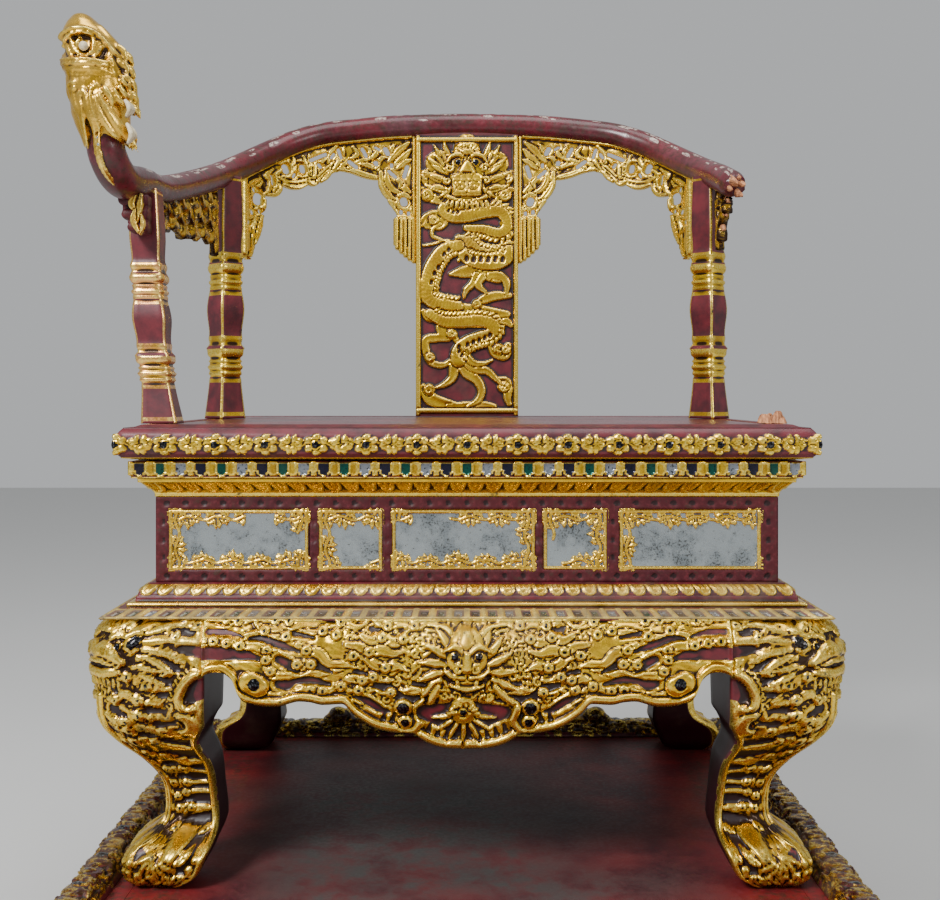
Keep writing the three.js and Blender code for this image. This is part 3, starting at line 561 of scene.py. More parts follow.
def lacquer_finish(name, worn=0.4, dust=0.2, base=LACQUER, rough=0.26, coat=0.25, haze=rgb(112, 92, 100)):
    """Old red lacquer: mottled, with a greyish bloom, nicks and hairline wear on its edges.

    Where the grime attribute is set, grey-green dust covers the red.
    """
    material, tree, shader = new_material(name)
    n = Nodes(tree)
    cavity = n.attribute("cavity")
    mottle = n.noise(11, 6, 0.6)
    fine = n.noise(160, 5, 0.6)
    colour = n.mix(n.spread(mottle, 0.3, 0.7), LACQUER_DARK, base)
    colour = n.mix(n.spread(fine, 0.45, 0.8, 0, 0.5), colour, LACQUER_LIGHT)
    bloom = n.spread(n.noise(6, 7, 0.62), 0.5, 0.72, 0.0, dust)
    colour = n.mix(bloom, colour, haze)
    scuffed = n.spread(n.noise(22, 8, 0.7), 0.34, 0.62, 0.35, 1.0)
    colour = n.mix(n.math("MULTIPLY", n.attribute("grime"), scuffed), colour, rgb(70, 68, 66))
    colour = n.mix(n.attribute("shade"), colour, rgb(30, 12, 16))
    edge = n.math("MULTIPLY", n.spread(cavity, 0.08, 0.5),
                  n.spread(n.noise(90, 6, 0.7), 0.62 - 0.25 * worn, 0.70))
    colour = n.mix(edge, colour, rgb(60, 40, 32))
    # Painted shade: hollows darken to a near black red.
    colour = n.mix(n.spread(cavity, -0.1, -0.6), colour, rgb(34, 12, 14))
    n.link(colour, shader.inputs["Base Color"])
    n.link(n.blend(bloom, n.spread(fine, 0.3, 0.7, rough, rough + 0.16), 0.66),
           shader.inputs["Roughness"])
    shader.inputs["Specular IOR Level"].default_value = 0.3
    shader.inputs["Coat Weight"].default_value = coat
    shader.inputs["Coat Roughness"].default_value = 0.2
    n.link(n.bump(n.noise(40, 4), 0.0006, 0.35), shader.inputs["Normal"])
    return material


CARVED = carved_finish("gilt_carving", dust=0.15)
# A darker gold and stronger hollow darkening than the other carving: painted shade on the legs, with more
# rubbed and lost gilt as well.
CARVED_LEG = carved_finish("gilt_legs", dust=0.15, wear=0.9, tint=rgb(228, 180, 46), lost=0.62, soft=0.75)
CARVED_DUSTY = carved_finish("gilt_carving_dusty", dust=0.55, wear=0.8, tint=rgb(206, 166, 74))
CARVED_SEAT = carved_finish("gilt_frieze", dust=0.1)
CARVED_GLASS = carved_finish("gilt_and_glass", dust=0.1)
CARVED_GLASS_DIRTY = carved_finish("gilt_and_glass_dirty", dust=0.35, tint=rgb(240, 200, 96), lost=0.6)
CARVED_PANEL = carved_finish("gilt_borders", dust=0.05, tint=rgb(240, 190, 56))
RED = lacquer_finish("red_lacquer", base=rgb(76, 20, 24), rough=0.42, coat=0.0, haze=rgb(66, 42, 42))
SEAT_LACQUER = lacquer_finish("seat_lacquer", dust=0.45, haze=rgb(92, 72, 80))
CARVED_OLD = carved_finish("gilt_border", dust=0.35, wear=1.0, tint=rgb(150, 92, 46), lost=0.46)
CARVED_DARK = carved_finish("dark_border", dust=0.2, wear=1.0, tint=rgb(62, 52, 38), lost=0.48)
DECK_LACQUER = lacquer_finish("deck_lacquer", worn=0.8, dust=0.35, base=rgb(122, 28, 30), rough=0.46,
                              coat=0.0,
                              haze=rgb(84, 60, 58))


def mirror_finish():
    """Old mirror gone grey, its silvering lost in black specks and blooms."""
    material, tree, shader = new_material("old_mirror")
    n = Nodes(tree)
    cloud = n.noise(30, 6, 0.7)
    speck = n.noise(150, 8, 0.85)
    fine = n.noise(420, 4, 0.7)
    colour = n.mix(n.spread(cloud, 0.35, 0.7), rgb(176, 184, 186), rgb(124, 132, 136))
    lost = n.math("MAXIMUM", n.spread(speck, 0.57, 0.63), n.math("MULTIPLY", n.spread(fine, 0.52, 0.58),
                                                                n.spread(cloud, 0.45, 0.6)))
    colour = n.mix(lost, colour, rgb(40, 42, 40))
    n.link(colour, shader.inputs["Base Color"])
    n.link(n.blend(lost, 0.75, 0.0), shader.inputs["Metallic"])
    n.link(n.blend(lost, n.spread(cloud, 0.3, 0.7, 0.16, 0.34), 0.5), shader.inputs["Roughness"])
    n.link(n.bump(cloud, 0.0004, 0.4), shader.inputs["Normal"])
    return material


OLD_MIRROR = mirror_finish()
CARVED_HEAD = carved_finish("gilt_head", dust=0.05, tint=rgb(238, 192, 84))
CARVED_POST = carved_finish("gilt_posts", dust=0.05, wear=1.0)
CARVED_POST_LIGHT = carved_finish("gilt_front_post", dust=0.05, tint=rgb(236, 164, 108))
# Painted light: a paler, brighter gold with little hollow shade, for the arm scrolls that face away from the
# key lamp.
CARVED_PAINTED_LIGHT = carved_finish("gilt_arm_scrolls_painted_light", tint=rgb(255, 216, 92), lost=0.8, soft=3.5)


def rail_finish():
    """The rail's lacquer, with pale nicks where it has been knocked."""
    material = lacquer_finish("rail_lacquer", worn=0.9, dust=0.25)
    tree = material.node_tree
    n = Nodes(tree)
    shader = next(node for node in tree.nodes if node.type == "BSDF_PRINCIPLED")
    socket = shader.inputs["Base Color"]
    before = socket.links[0].from_socket
    grain = n.noise(260, 5, 0.7)
    chip = n.math("MULTIPLY", n.spread(n.attribute("chip"), 0.3, 0.7), n.spread(grain, 0.42, 0.52))
    n.link(n.mix(chip, before, rgb(176, 160, 150)), socket)
    return material


def plain_finish(name, light, dark, scale, stretch, rough):
    """A dull material mottled between two colours along its grain."""
    material, tree, shader = new_material(name)
    n = Nodes(tree)
    streak = n.noise(scale, 6, 0.65, stretch)
    colour = n.mix(n.spread(streak, 0.3, 0.7), dark, light)
    # Painted shade: hollows darken to brown.
    colour = n.mix(n.spread(n.attribute("cavity"), -0.1, -0.7), colour, rgb(60, 40, 26))
    n.link(colour, shader.inputs["Base Color"])
    shader.inputs["Roughness"].default_value = rough
    n.link(n.bump(streak, 0.0008, 0.6), shader.inputs["Normal"])
    return material


RAIL_LACQUER = rail_finish()
RAW_WOOD = plain_finish("broken_wood", rgb(214, 150, 104), rgb(120, 70, 44), 90, (4, 1, 1), 0.85)
CREAM = plain_finish("cream_paint", rgb(226, 214, 184), rgb(186, 170, 132), 200, (1, 1, 1), 0.5)


# ---------- aprons ----------
apron_lower = profile_of([
    [0, 371], [0.08, 372], [0.16, 380], [0.21, 390], [0.28, 391], [0.36, 398], [0.43, 413], [0.47, 425],
    [0.545, 424], [0.59, 427], [0.63, 428], [0.72, 422], [0.81, 425], [0.865, 437], [0.88, 450],
    [0.90, 457], [0.95, 461.5], [1, 457],
])
apron_bulge = profile_of([[371, -16], [400, -9], [440, -1], [480, 0], [505, -8], [LEG_TOP, -18]])

# Streams of cloud on half of the front apron: points are (distance from the middle, height).
CLOUD_STREAMS = [
    [(298, 521), (276, 519), (262, 517), (244, 520), (231, 522)],
    [(240, 515), (219, 518), (203, 517), (188, 521), (172, 518)],
    [(299, 497), (288, 497), (272, 494), (257, 491), (240, 492), (228, 487), (214, 490), (204, 481),
     (192, 474)],
    [(257, 491), (252, 500), (238, 503), (229, 507), (214, 502), (204, 501), (186, 504), (164, 507),
     (148, 503)],
    [(236, 511), (220, 509), (200, 512), (182, 516), (160, 514), (144, 516), (126, 510), (112, 516)],
    [(192, 492), (181, 487), (166, 482), (158, 472), (150, 468), (137, 470), (126, 466)],
    [(228, 487), (226, 476), (224, 462), (212, 456), (198, 456), (188, 452), (176, 458), (158, 461),
     (140, 464)],
    [(206, 466), (192, 468), (176, 470), (164, 466)],
    [(226, 436), (204, 432), (190, 437), (177, 441), (163, 440), (152, 444), (142, 445), (132, 440),
     (122, 441)],
    [(122, 441), (114, 432), (102, 424), (92, 413), (80, 411)],
    [(142, 448), (130, 454), (118, 452), (106, 456), (96, 450), (84, 452)],
    [(128, 480), (114, 478), (104, 470), (92, 466), (78, 468), (66, 462)],
    [(120, 502), (108, 496), (96, 500), (84, 494), (70, 498), (58, 494)],
    [(100, 440), (86, 438), (72, 436), (58, 440), (44, 436)],
    [(104, 516), (90, 512), (76, 516), (60, 512), (44, 516), (30, 512)],
    [(136, 492), (122, 490), (110, 484), (96, 486), (82, 482), (70, 484)],
]
CLOUD_HEADS = [
    (275, 519), (261, 517), (219, 518), (203, 517), (287, 496), (272, 494), (257, 491), (230, 507),
    (205, 501),
    (164, 507), (148, 503), (226, 486), (227, 475), (222, 462), (181, 486), (176, 470), (192, 470),
    (177, 441),
    (163, 440), (142, 445), (122, 441), (128, 480), (106, 456), (96, 500), (92, 466), (86, 438),
    (60, 512),
    (110, 484), (90, 512), (72, 498), (118, 452), (144, 516),
]


def stream(relief, points, width=10.5, height=6.0, lift=0.0, start=0.55, end=0.2):
    """A ribbon of cloud that swells in the middle and runs out to a point."""
    relief.band(points, (width * start, width, width, width * end), height, lift, groove=1.2, flat=0.4,
                hollow=1.5)


def cups(relief, points, radius=8.0, height=6.0, lift=0.0):
    """Cloud heads: broad cups, each with a set bead."""
    for x, z in points:
        relief.band([(x, z), (x + 0.01, z)], 2 * radius, height, lift, groove=1.2, flat=0.35, hollow=1.6)
        relief.stud(x, z, radius * 0.32, height * 0.35, lift + height * 0.7, collar=False)


def small_curls(relief, x0, x1, z0, z1, pitch, seed, flip=1):
    """Crowded little curls and leaves over a rectangle, as the ground of a busy part."""
    rng = np.random.default_rng(seed)
    for x in np.arange(x0, x1, pitch):
        for z in np.arange(z0, z1, pitch):
            px, pz = x + (rng.random() - 0.5) * pitch, z + (rng.random() - 0.5) * pitch
            angle = rng.random() * 2 * math.pi
            if rng.random() < 0.5:
                relief.spiral(px * flip, pz, pitch * 0.5, 1.2, angle, flip, pitch * 0.34, 4.0, 0.5)
            else:
                relief.leaf(px * flip, pz, angle if flip > 0 else math.pi - angle, pitch * 1.5,
                            pitch * 0.5, 4.0,
                            0.8, 0.6 * flip)


def dragon_face(relief, x, z, size, lift=0.0):
    """A frontal dragon mask: horns, brows, eyes, broad nose, fangs and a fringe of mane."""
    s = size / 40.0
    for side in (-1, 1):
        for k in range(6):
            angle = math.pi / 2 - side * (0.45 + 0.42 * k)
            relief.leaf(x + side * (13 + 2.2 * k) * s, z + (10 - 6 * k) * s, angle, 24 * s, 8 * s,
                        4.5, lift)
        relief.band([(x + side * 8 * s, z + 18 * s), (x + side * 18 * s, z + 28 * s),
                     (x + side * 34 * s, z + 30 * s)],
                    (6 * s, 4 * s, 1), 4.0, lift + 2, vein=0.6)
    relief.band([(x, z + 14 * s), (x, z - 8 * s)], (30 * s, 34 * s, 26 * s), 7.5, lift + 1, flat=0.7)
    relief.band([(x, z + 22 * s), (x, z + 16 * s)], (10 * s, 14 * s), 5.0, lift + 5)
    for side in (-1, 1):
        relief.band([(x + side * 3 * s, z + 9 * s), (x + side * 10 * s, z + 14 * s),
                     (x + side * 19 * s, z + 10 * s)],
                    (4.5 * s, 5.5 * s, 2 * s), 4.0, lift + 6)
        relief.stud(x + side * 10 * s, z + 5.5 * s, 3.2 * s, 4.5, lift + 5.5)
        relief.spiral(x + side * 8 * s, z - 5 * s, 4.2 * s, 1.0, math.pi / 2, side, 3 * s, 3.5, lift + 7)
        relief.band([(x + side * 3 * s, z - 12 * s), (x + side * 12 * s, z - 11 * s),
                     (x + side * 18 * s, z - 6 * s)],
                    (4 * s, 5 * s, 3 * s), 4.0, lift + 6)
        relief.leaf(x + side * 8 * s, z - 14 * s, -math.pi / 2, 9 * s, 3.5 * s, 3.5, lift + 6, 0.0)
    relief.band([(x, z + 8 * s), (x, z - 4 * s)], (5 * s, 9 * s), 5.0, lift + 7)
    relief.band([(x - 13 * s, z - 19 * s), (x, z - 22 * s), (x + 13 * s, z - 19 * s)],
                (3 * s, 5 * s, 3 * s), 4, lift + 5)


def claw_rosette(relief, x, z, size):
    """A curled paw seen from the front, with long rays under it."""
    relief.cut([(x - size * 1.9, z + 2), (x, z - 4), (x + size * 1.9, z + 2)], (16, 42, 16))
    for k in range(7):
        angle = -math.pi / 2 + (k - 3) * 0.46
        relief.leaf(x + size * 0.5 * math.cos(angle), z + size * 0.35 * math.sin(angle), angle,
                    size * (1.25 - 0.06 * abs(k - 3)), size * 0.24, 4.5, 1.0, 0.15 * (k - 3) / 3)
    relief.band([(x, z + 2), (x, z + 6)], (size * 1.15, size * 1.25), 5.0, 1.5)
    for k in range(8):
        angle = math.pi * (0.05 + 0.9 * k / 7)
        relief.band([(x + 3 * math.cos(angle), z + 3),
                     (x + size * 0.75 * math.cos(angle), z + size * 0.5 * math.sin(angle))],
                    (4, 5, 3), 5.0, 3.0)
    relief.stud(x, z + 3, 4.0, 5.0, 4.0)


# Long openings between the clouds, where the red ground shows: points and width, for one half.
CLOUD_OPENINGS = [
    ([(178, 521), (158, 519), (140, 516)], (3, 7, 2)), ([(294, 505), (272, 504), (254, 500)], (6, 6, 2)),
    ([(246, 498), (232, 498), (214, 492), (190, 484)], (3, 7, 8, 3)), ([(196, 503), (174, 499)], (5, 3)),
    ([(302, 482), (274, 481), (250, 480), (234, 476)], (14, 15, 12, 5)),
    ([(213, 475), (203, 470), (192, 463)], (8, 11, 5)),
    ([(168, 468), (153, 461)], (7, 3)), ([(213, 447), (204, 446), (196, 449)], (9, 12, 6)),
    ([(196, 450), (176, 452), (155, 447)], (6, 8, 3)), ([(103, 446), (88, 442), (72, 434)], (6, 10, 3)),
    ([(126, 433), (112, 427), (98, 418), (88, 415)], (3, 9, 9, 3)),
    ([(82, 434), (60, 430), (34, 428)], (5, 8, 4)),
    ([(126, 462), (110, 458)], (5, 3)), ([(60, 448), (44, 446)], (5, 3)),
    ([(110, 508), (94, 505)], (5, 2)),
]


def apron_relief(step, half=LEG_INNER):
    """Carving for one apron, in (distance along, height)."""
    relief = Relief(-half, half, 368, LEG_TOP + 2, step)
    relief.sheet(3.6, 0.9, 16, 3)
    scale = half / LEG_INNER
    for side in (-1, 1):
        small_curls(relief, 8 * scale, 132 * scale, 430, 514, 11, 5, side)
        for points in CLOUD_STREAMS:
            stream(relief, [(side * x * scale, z) for x, z in points], 12.0, 5.0, 2.0)
        for points, width in CLOUD_OPENINGS:
            relief.cut([(side * x * scale, z) for x, z in points], width)
        cups(relief, [(side * x * scale, z) for x, z in CLOUD_HEADS], 6.2, 5.5, 2.0)
        edge = np.linspace(0.0, 1.0, 60)
        for k in range(10):
            u = 0.32 - 0.034 * k
            relief.cut([(side * half * u, float(apron_lower(u)) + 9),
                        (side * half * (u - 0.01), float(apron_lower(u)) + 21)],
                       (5, 3.2))
        relief.band(np.column_stack([side * edge * half, apron_lower(edge) + 5.2]), 10.5, 8.0, 1.5,
                    groove=1.4)
        relief.band([(side * 246 * scale, 450), (side * 236 * scale, 445)], 25, 7.5, 2.5, groove=1.6,
                    flat=0.5)
        relief.stud(side * 240 * scale, 448, 7.0, 5.0, 7.0, collar=False)
        for x, z, size in ((72, 420, 7.0), (70, 403, 5.0)):
            relief.band([(side * x * scale, z), (side * (x + 0.1) * scale, z)], 2 * size + 7, 7.0,
                        1.0, groove=1.4)
            relief.stud(side * x * scale, z, size, 3.0, 5.0, collar=False)
        relief.band([(side * 60 * scale, 393), (side * 52 * scale, 405), (side * 57 * scale, 420),
                     (side * 50 * scale, 430)], (8, 10, 9, 5), 6.5, 2.0)
    dragon_face(relief, 0, 472, 54, 3.0)
    claw_rosette(relief, -4 * scale, 412, 24)
    return relief


def apron(name, quarter, half, face, step, rows, material=CARVED):
    """One apron as a closed plate wrapped over its bulging face, turned to its side of the throne."""
    relief = apron_relief(step, half)
    cols = int(2 * half / step)
    u = np.linspace(-1, 1, cols)
    v = np.linspace(0, 1, rows) ** 0.9
    low = apron_lower(np.abs(u))
    x = np.broadcast_to(u * half, (rows, cols))
    z = low[None, :] + (LEG_TOP - low[None, :]) * v[:, None]
    marks = relief.read(x, z)
    rim = smoothstep(0, 3.0, z - low[None, :]) * smoothstep(0, 4.0, half - np.abs(x))
    carve = (marks["height"] - 7.5) * rim * smoothstep(0, 3.0, LEG_TOP - z)
    front = np.stack([x, -(face + apron_bulge(z)) - carve - 2.0 * rim, z], axis=-1)
    back = front.copy()
    back[..., 1] = -face + 34
    verts, faces, rim_points = plate_mesh(front, back)
    gold = marks["gold"].ravel()
    grime = 0.4 * np.exp(-((x - 20) / 90) ** 2) * smoothstep(455, 510, z)
    extra = {"gold": over_rim(gold, rim_points), "grime": over_rim(grime, rim_points),
             "bead": over_rim(marks["bead"], rim_points)}
    make_mesh(f"{name}_carving", turned(verts, quarter), faces, material, extra, replaces=[name])


FRONT_FACE = KNEE - HALF_DIFFERENCE
side_half = node_box("apron_left")[1][1] - THRONE_Y
apron("apron_front", 0, LEG_INNER, FRONT_FACE, 1.6, 84)
apron("apron_right", 1, side_half, KNEE, 2.4, 50)
apron("apron_left", -1, side_half, KNEE, 2.4, 50)
apron("apron_rear", 2, LEG_INNER, FRONT_FACE, 3.8, 32, CARVED_DUSTY)


# ---------- ring mouldings round the throne ----------
def fine_profile(points, spacing):
    """The given [half, z] points with more between them, about `spacing` apart."""
    out = [np.asarray(points[0], float)]
    for a, b in zip(points, points[1:]):
        a, b = np.asarray(a, float), np.asarray(b, float)
        count = max(1, int(round(np.linalg.norm(b - a) / spacing)))
        out += [a + (b - a) * k / count for k in range(1, count + 1)]
    return np.array(out)


SIDE_STEPS = (1.0, 2.0, 4.0, 2.0)     # how much coarser the front, right, rear and left are drawn


def ring_mesh(name, profile, material, pattern, step, inner, replaces=(), sharp=None,
              drop=HALF_DIFFERENCE, middle_y=0.0):
    """A moulding mitred round the throne from a fine profile of [half, z] points, closed at the inner half.

    pattern(u, half_length, v, quarter) gives the carving: u runs along a side from its middle,
    v along the profile, both in millimetres.
    """
    profile = np.asarray(profile, float)
    tangent = np.gradient(profile, axis=0)
    tangent /= np.linalg.norm(tangent, axis=1)[:, None]
    outward, upward = tangent[:, 1], -tangent[:, 0]
    v = np.concatenate([[0], np.cumsum(np.linalg.norm(np.diff(profile, axis=0), axis=1))])
    widest = profile[:, 0].max()
    sides, marks = [], []
    for quarter in range(4):
        short = 0 if quarter % 2 == 0 else drop
        out_drop = drop - short
        nominal = widest - short
        count = int(round(2 * nominal / (step * SIDE_STEPS[quarter])))
        t = np.arange(count) / count * 2 - 1
        field = pattern(t * nominal, nominal, v, quarter)
        raised = field["height"]
        half = profile[:, 0][:, None] + raised * outward[:, None]
        z = profile[:, 1][:, None] + raised * upward[:, None]
        points = np.stack([t[None, :] * (half - short), -(half - out_drop), z], axis=-1)
        back = []
        for z_back in (profile[-1, 1], profile[0, 1]):
            back.append(np.stack([t * (inner - short), np.full(count, -(inner - out_drop)),
                                  np.full(count, z_back)], axis=-1))
        sides.append(turned(np.concatenate([points, np.array(back)]), quarter))
        marks.append(field)
    verts = np.concatenate(sides, axis=1) + (0, middle_y, 0)
    rows, cols = verts.shape[:2]
    faces = grid_faces(rows, cols, wrap=True).tolist()
    last = (rows - 1) * cols
    faces += [[last + i, last + (i + 1) % cols, (i + 1) % cols, i] for i in range(cols)]
    extra = {}
    for key in marks[0]:
        if key != "height":
            values = np.concatenate([m[key] for m in marks], axis=1)
            extra[key] = np.concatenate([values, np.zeros((2, cols))]).ravel()
    return make_mesh(name, verts.reshape(-1, 3), faces, material, extra, replaces=replaces, sharp=sharp)


def repeat(u, half_length, pitch):
    """Distance from the middle of the nearest of a whole number of repeats along a side, and its number."""
    count = max(1, round(2 * half_length / pitch))
    size = 2 * half_length / count
    turn = (u + half_length) / size
    return (turn - np.floor(turn) - 0.5) * size, np.floor(turn)


def plain(u, v):
    shape = (len(v), len(u))
    return {key: np.zeros(shape) for key in ("height", "gold", "bead", "glass", "hue", "grime")}


def petal_row(field, u, half_length, v, low, high, pitch, depth=2.2):
    """A row of overlapping lotus petals between two heights of the profile, points down."""
    across, _ = repeat(u, half_length, pitch)
    k = np.clip((v - low) / (high - low), 0, 1)[:, None]
    within = ((v >= low) & (v <= high))[:, None]
    width = pitch / 2 * np.sqrt(np.clip(1 - (1 - k) ** 2.2, 0, 1))
    edge = (width - np.abs(across)[None, :]) / pitch * 2
    petal = smoothstep(0, 0.22, edge)
    body = petal * (0.55 + 0.45 * np.sin(math.pi * np.clip(k, 0, 1)))
    body = body - 0.5 * smoothstep(0.25, 0.6, edge) * (k > 0.2)
    rib = np.exp(-(across[None, :] / 0.9) ** 2) * smoothstep(0.2, 0.5, k) * 0.4
    field["height"] += within * depth * (body + rib)
    field["gold"] = np.maximum(field["gold"], within * (0.25 + 0.75 * smoothstep(-0.05, 0.05, edge)))


# ---------- the seat board and its flower frieze ----------
def flower_tile(pitch, height, step):
    """One flower with a glass centre and a leaf sprig on either side, on a strip of the given height."""
    tile = Relief(-pitch / 2, pitch / 2, 0, height, step)
    middle = height / 2
    for side in (-1, 1):
        x = side * pitch / 2
        tile.band([(side * 9, middle), (side * 17, middle + 3), (side * 24, middle - 1), (x, middle)],
                  (4, 3.5, 3), 2.5, 0.0)
        tile.leaf(side * 15, middle + 1, math.pi / 2 - side * 0.9, 15, 8, 3.2, 0.6, -side * 0.5)
        tile.leaf(side * 17, middle, -math.pi / 2 + side * 0.9, 15, 8, 3.2, 0.6, side * 0.5)
        tile.leaf(side * 24, middle, math.pi / 2 - side * 0.4, 13, 7, 2.8, 0.8, side * 0.5)
        tile.leaf(side * 25, middle - 1, -math.pi / 2 + side * 0.4, 12, 7, 2.8, 0.8, -side * 0.5)
        tile.spiral(side * 21, middle + 1.5, 4.0, 1.1, 0, side, 2.6, 3.2, 1.2)
    for k in range(6):
        angle = math.pi / 3 * k + math.pi / 6
        x, z = 9.6 * math.cos(angle), middle + 9.0 * math.sin(angle)
        tile.band([(x * 0.7, middle + (z - middle) * 0.7), (x, z)], (8, 9.5), 4.4, 1.0, groove=0.7,
                  hollow=0.8)
    tile.stud(0, middle, 4.6, 4.0, 2.2)
    return tile


seat_edge = fine_profile([[394, 697], [401, 698.5], [404, 701]], 1.6)
seat_side = smooth_path([(404, 701), (407.4, 706), (408, 717), (407.6, 727), (405, 733),
                         (399, 739.5)], 1.6)
seat_profile = np.vstack([seat_edge[:-1], seat_side, fine_profile([[399, 739.5], [372, 739.5]], 9)[1:]])
FRIEZE_LOW, FRIEZE_HIGH = 12.0, 44.0
FLOWER_PITCH = 58.0
flower = flower_tile(FLOWER_PITCH, FRIEZE_HIGH - FRIEZE_LOW, 0.9)


def seat_pattern(u, half_length, v, quarter):
    field = plain(u, v)
    across, _ = repeat(u + FLOWER_PITCH / 2, half_length - 0.01, FLOWER_PITCH)
    height = v - FRIEZE_LOW
    within = (height > 0) & (height < FRIEZE_HIGH - FRIEZE_LOW)
    across_grid, height_grid = np.broadcast_arrays(across[None, :], height[:, None])
    marks = flower.read(across_grid, height_grid)
    fade = smoothstep(0, 3, FRIEZE_HIGH - FRIEZE_LOW - height_grid) * smoothstep(0, 3, height_grid)
    field["height"] = np.where(within[:, None], marks["height"] * fade * 0.75, 0) - 3.4 * (v < 66)[:, None]
    field["gold"] = np.where(within[:, None], marks["gold"], 0)
    field["bead"] = np.where(within[:, None], marks["bead"], 0)
    fillet = (v < 8.5)[:, None]
    field["gold"] = np.maximum(field["gold"], fillet * 1.0)
    field["height"] += fillet * 0.8
    return field


ring_mesh("seat_frieze", seat_profile, CARVED_SEAT, seat_pattern, 2.2, 360, replaces=["seat_board"])
half_x, half_y = 371.5, 371.5 - HALF_DIFFERENCE
board_points = []
for level in (SEAT_TOP - 0.6, SEAT_BOTTOM + 1):
    board_points += [(-half_x, -half_y, level), (half_x, -half_y, level), (half_x, half_y, level),
                     (-half_x, half_y, level)]
make_mesh("seat_top", board_points, [(0, 1, 2, 3), (7, 6, 5, 4), (0, 4, 5, 1), (1, 5, 6, 2),
                                     (2, 6, 7, 3), (3, 7, 4, 0)],
          SEAT_LACQUER, replaces=["seat_board"], sharp=30)
GLASS_ORDER = np.array([0.2, 0.9, 0.55])      # dark blue, clear and green panes in turn


# ---------- upper moulding: petal cove and a band of arched glass panes ----------
upper_profile = np.vstack([
    fine_profile([[368.5, 654.3], [368.5, 658.0]], 1.9)[:-1],
    smooth_path([(368.5, 658), (370.5, 661.5), (375.5, 667.5), (381, 671.2), (384.5, 672)], 1.5)[:-1],
    fine_profile([[384.5, 672], [385, 676.6], [392, 677.2], [392.5, 678], [392.5, 696.4],
                  [391, 697]], 1.15),
])
PETAL_PITCH = 22.0
ARCH_PITCH = 24.0


def upper_pattern(u, half_length, v, quarter):
    field = plain(u, v)
    z = upper_profile[:, 1]
    petal_row(field, u, half_length, v, 5.0, 23.0, PETAL_PITCH, 2.6)
    lip = (upper_profile[:, 0] < 391)[:, None]
    field["gold"] = np.where(lip, 1.0, field["gold"])
    band = (upper_profile[:, 0] > 391)[:, None]
    a, number = repeat(u, half_length, ARCH_PITCH)
    a = np.abs(a)[None, :]
    k = ((z - 677.5) / 19.0)[:, None]
    width = 5.6 * np.sqrt(np.clip(1 - (np.clip(0.5 - k, 0, 1) / 0.34) ** 2, 0, 1))
    inside = np.minimum(width - a, (0.9 - k) * 19)
    glass = (inside > 0) & band & (k > 0.1)
    rim = (inside > -2.3) & ~glass & band & (k > 0.0) & (k < 0.97)
    reed = (a > 8.3) & band & (k > 0.1)
    reeds = np.abs(np.cos((a - 8.3) / 2.5 * math.pi / 1.0 + math.pi / 2)) * smoothstep(0.1, 0.2, k)
    height = np.where(glass, -2.2, np.where(rim, 1.2, np.where(reed, -1.2 + 2.4 * reeds, -2.8)))
    field["height"] = np.where(band, height, field["height"])
    field["gold"] = np.where(band, (rim | reed) * 1.0, field["gold"])
    field["glass"] = glass * 1.0
    field["hue"] = np.broadcast_to(GLASS_ORDER[number.astype(int) % 3][None, :], glass.shape)
    return field


ring_mesh("upper_moulding_carving", upper_profile, CARVED_GLASS, upper_pattern, 2.1, 330,
          replaces=["upper_moulding"])

# ---------- lower moulding: petals, fillets and a sloping row of mirror niches ----------
lower_profile = np.vstack([
    fine_profile([[417.5, 518.3], [419, 519.3], [404.5, 527.3], [403, 527.6]], 1.5)[:-1],
    fine_profile([[403, 527.6], [394, 528]], 3)[:-1],
    smooth_path([(394, 528), (395.2, 530.3), (393.5, 533), (388, 533.6)], 1.2)[:-1],
    fine_profile([[388, 533.6], [386.5, 534.2], [386, 539], [384.5, 539.6]], 1.5)[:-1],
    smooth_path([(384.5, 539.6), (384, 542), (380.5, 547.5), (374, 552.8)], 1.4)[:-1],
    fine_profile([[374, 552.8], [368, 553.3]], 3),
])
NICHE_PITCH = 20.0


def lower_pattern(u, half_length, v, quarter):
    field = plain(u, v)
    half, z = lower_profile[:, 0], lower_profile[:, 1]
    a, number = repeat(u, half_length, NICHE_PITCH)
    a = np.abs(a)[None, :]
    slope = ((z < 527.5) & (half > 404.4))[:, None]
    k = ((419 - half) / 14.5)[:, None]
    glass = slope & (a < 5.0 - 1.4 * k) & (k > 0.22) & (k < 0.80)
    ridge = slope & (a > 7.0)
    field["height"] = np.where(slope, np.where(glass, -1.8, np.where(ridge, 1.3, 0.4)), 0.0)
    field["gold"] = (slope & ~glass & ((k < 0.16) | (k > 0.88) | (a > 5.8))) * 1.0
    field["glass"] = glass * 1.0
    field["hue"] = np.broadcast_to(GLASS_ORDER[number.astype(int) % 3][None, :], glass.shape)
    field["grime"] = slope * (1.0 + 0 * a)
    torus = ((z >= 527.9) & (z <= 533.7))[:, None]
    field["gold"] = np.where(torus, 1.0, field["gold"])
    petal_start = v[np.argmax(z >= 539.6)]
    petal_row(field, u, half_length, v, petal_start, petal_start + 15.5, 21.0, 2.4)
    return field


ring_mesh("lower_moulding_carving", lower_profile, CARVED_GLASS_DIRTY, lower_pattern, 2.3, 330,
          replaces=["lower_moulding"])

# ---------- waist box: panelled faces with rows of small sunk studs ----------
PANEL_LOW, PANEL_HIGH = 567.0, 639.0
LONG_PANELS = [(-270, 83), (-137.5, 38), (-4, 85), (128, 38), (264, 84)]
SHORT_PANELS = [(-184, 80), (0, 78), (184, 80)]
STUD_PITCH = 22.0
waist_profile = fine_profile([[WAIST_HALF - 0.6, WAIST_BOTTOM], [WAIST_HALF, WAIST_BOTTOM + 0.8],
                              [WAIST_HALF, WAIST_TOP - 0.8], [WAIST_HALF - 0.6, WAIST_TOP]], 2.2)


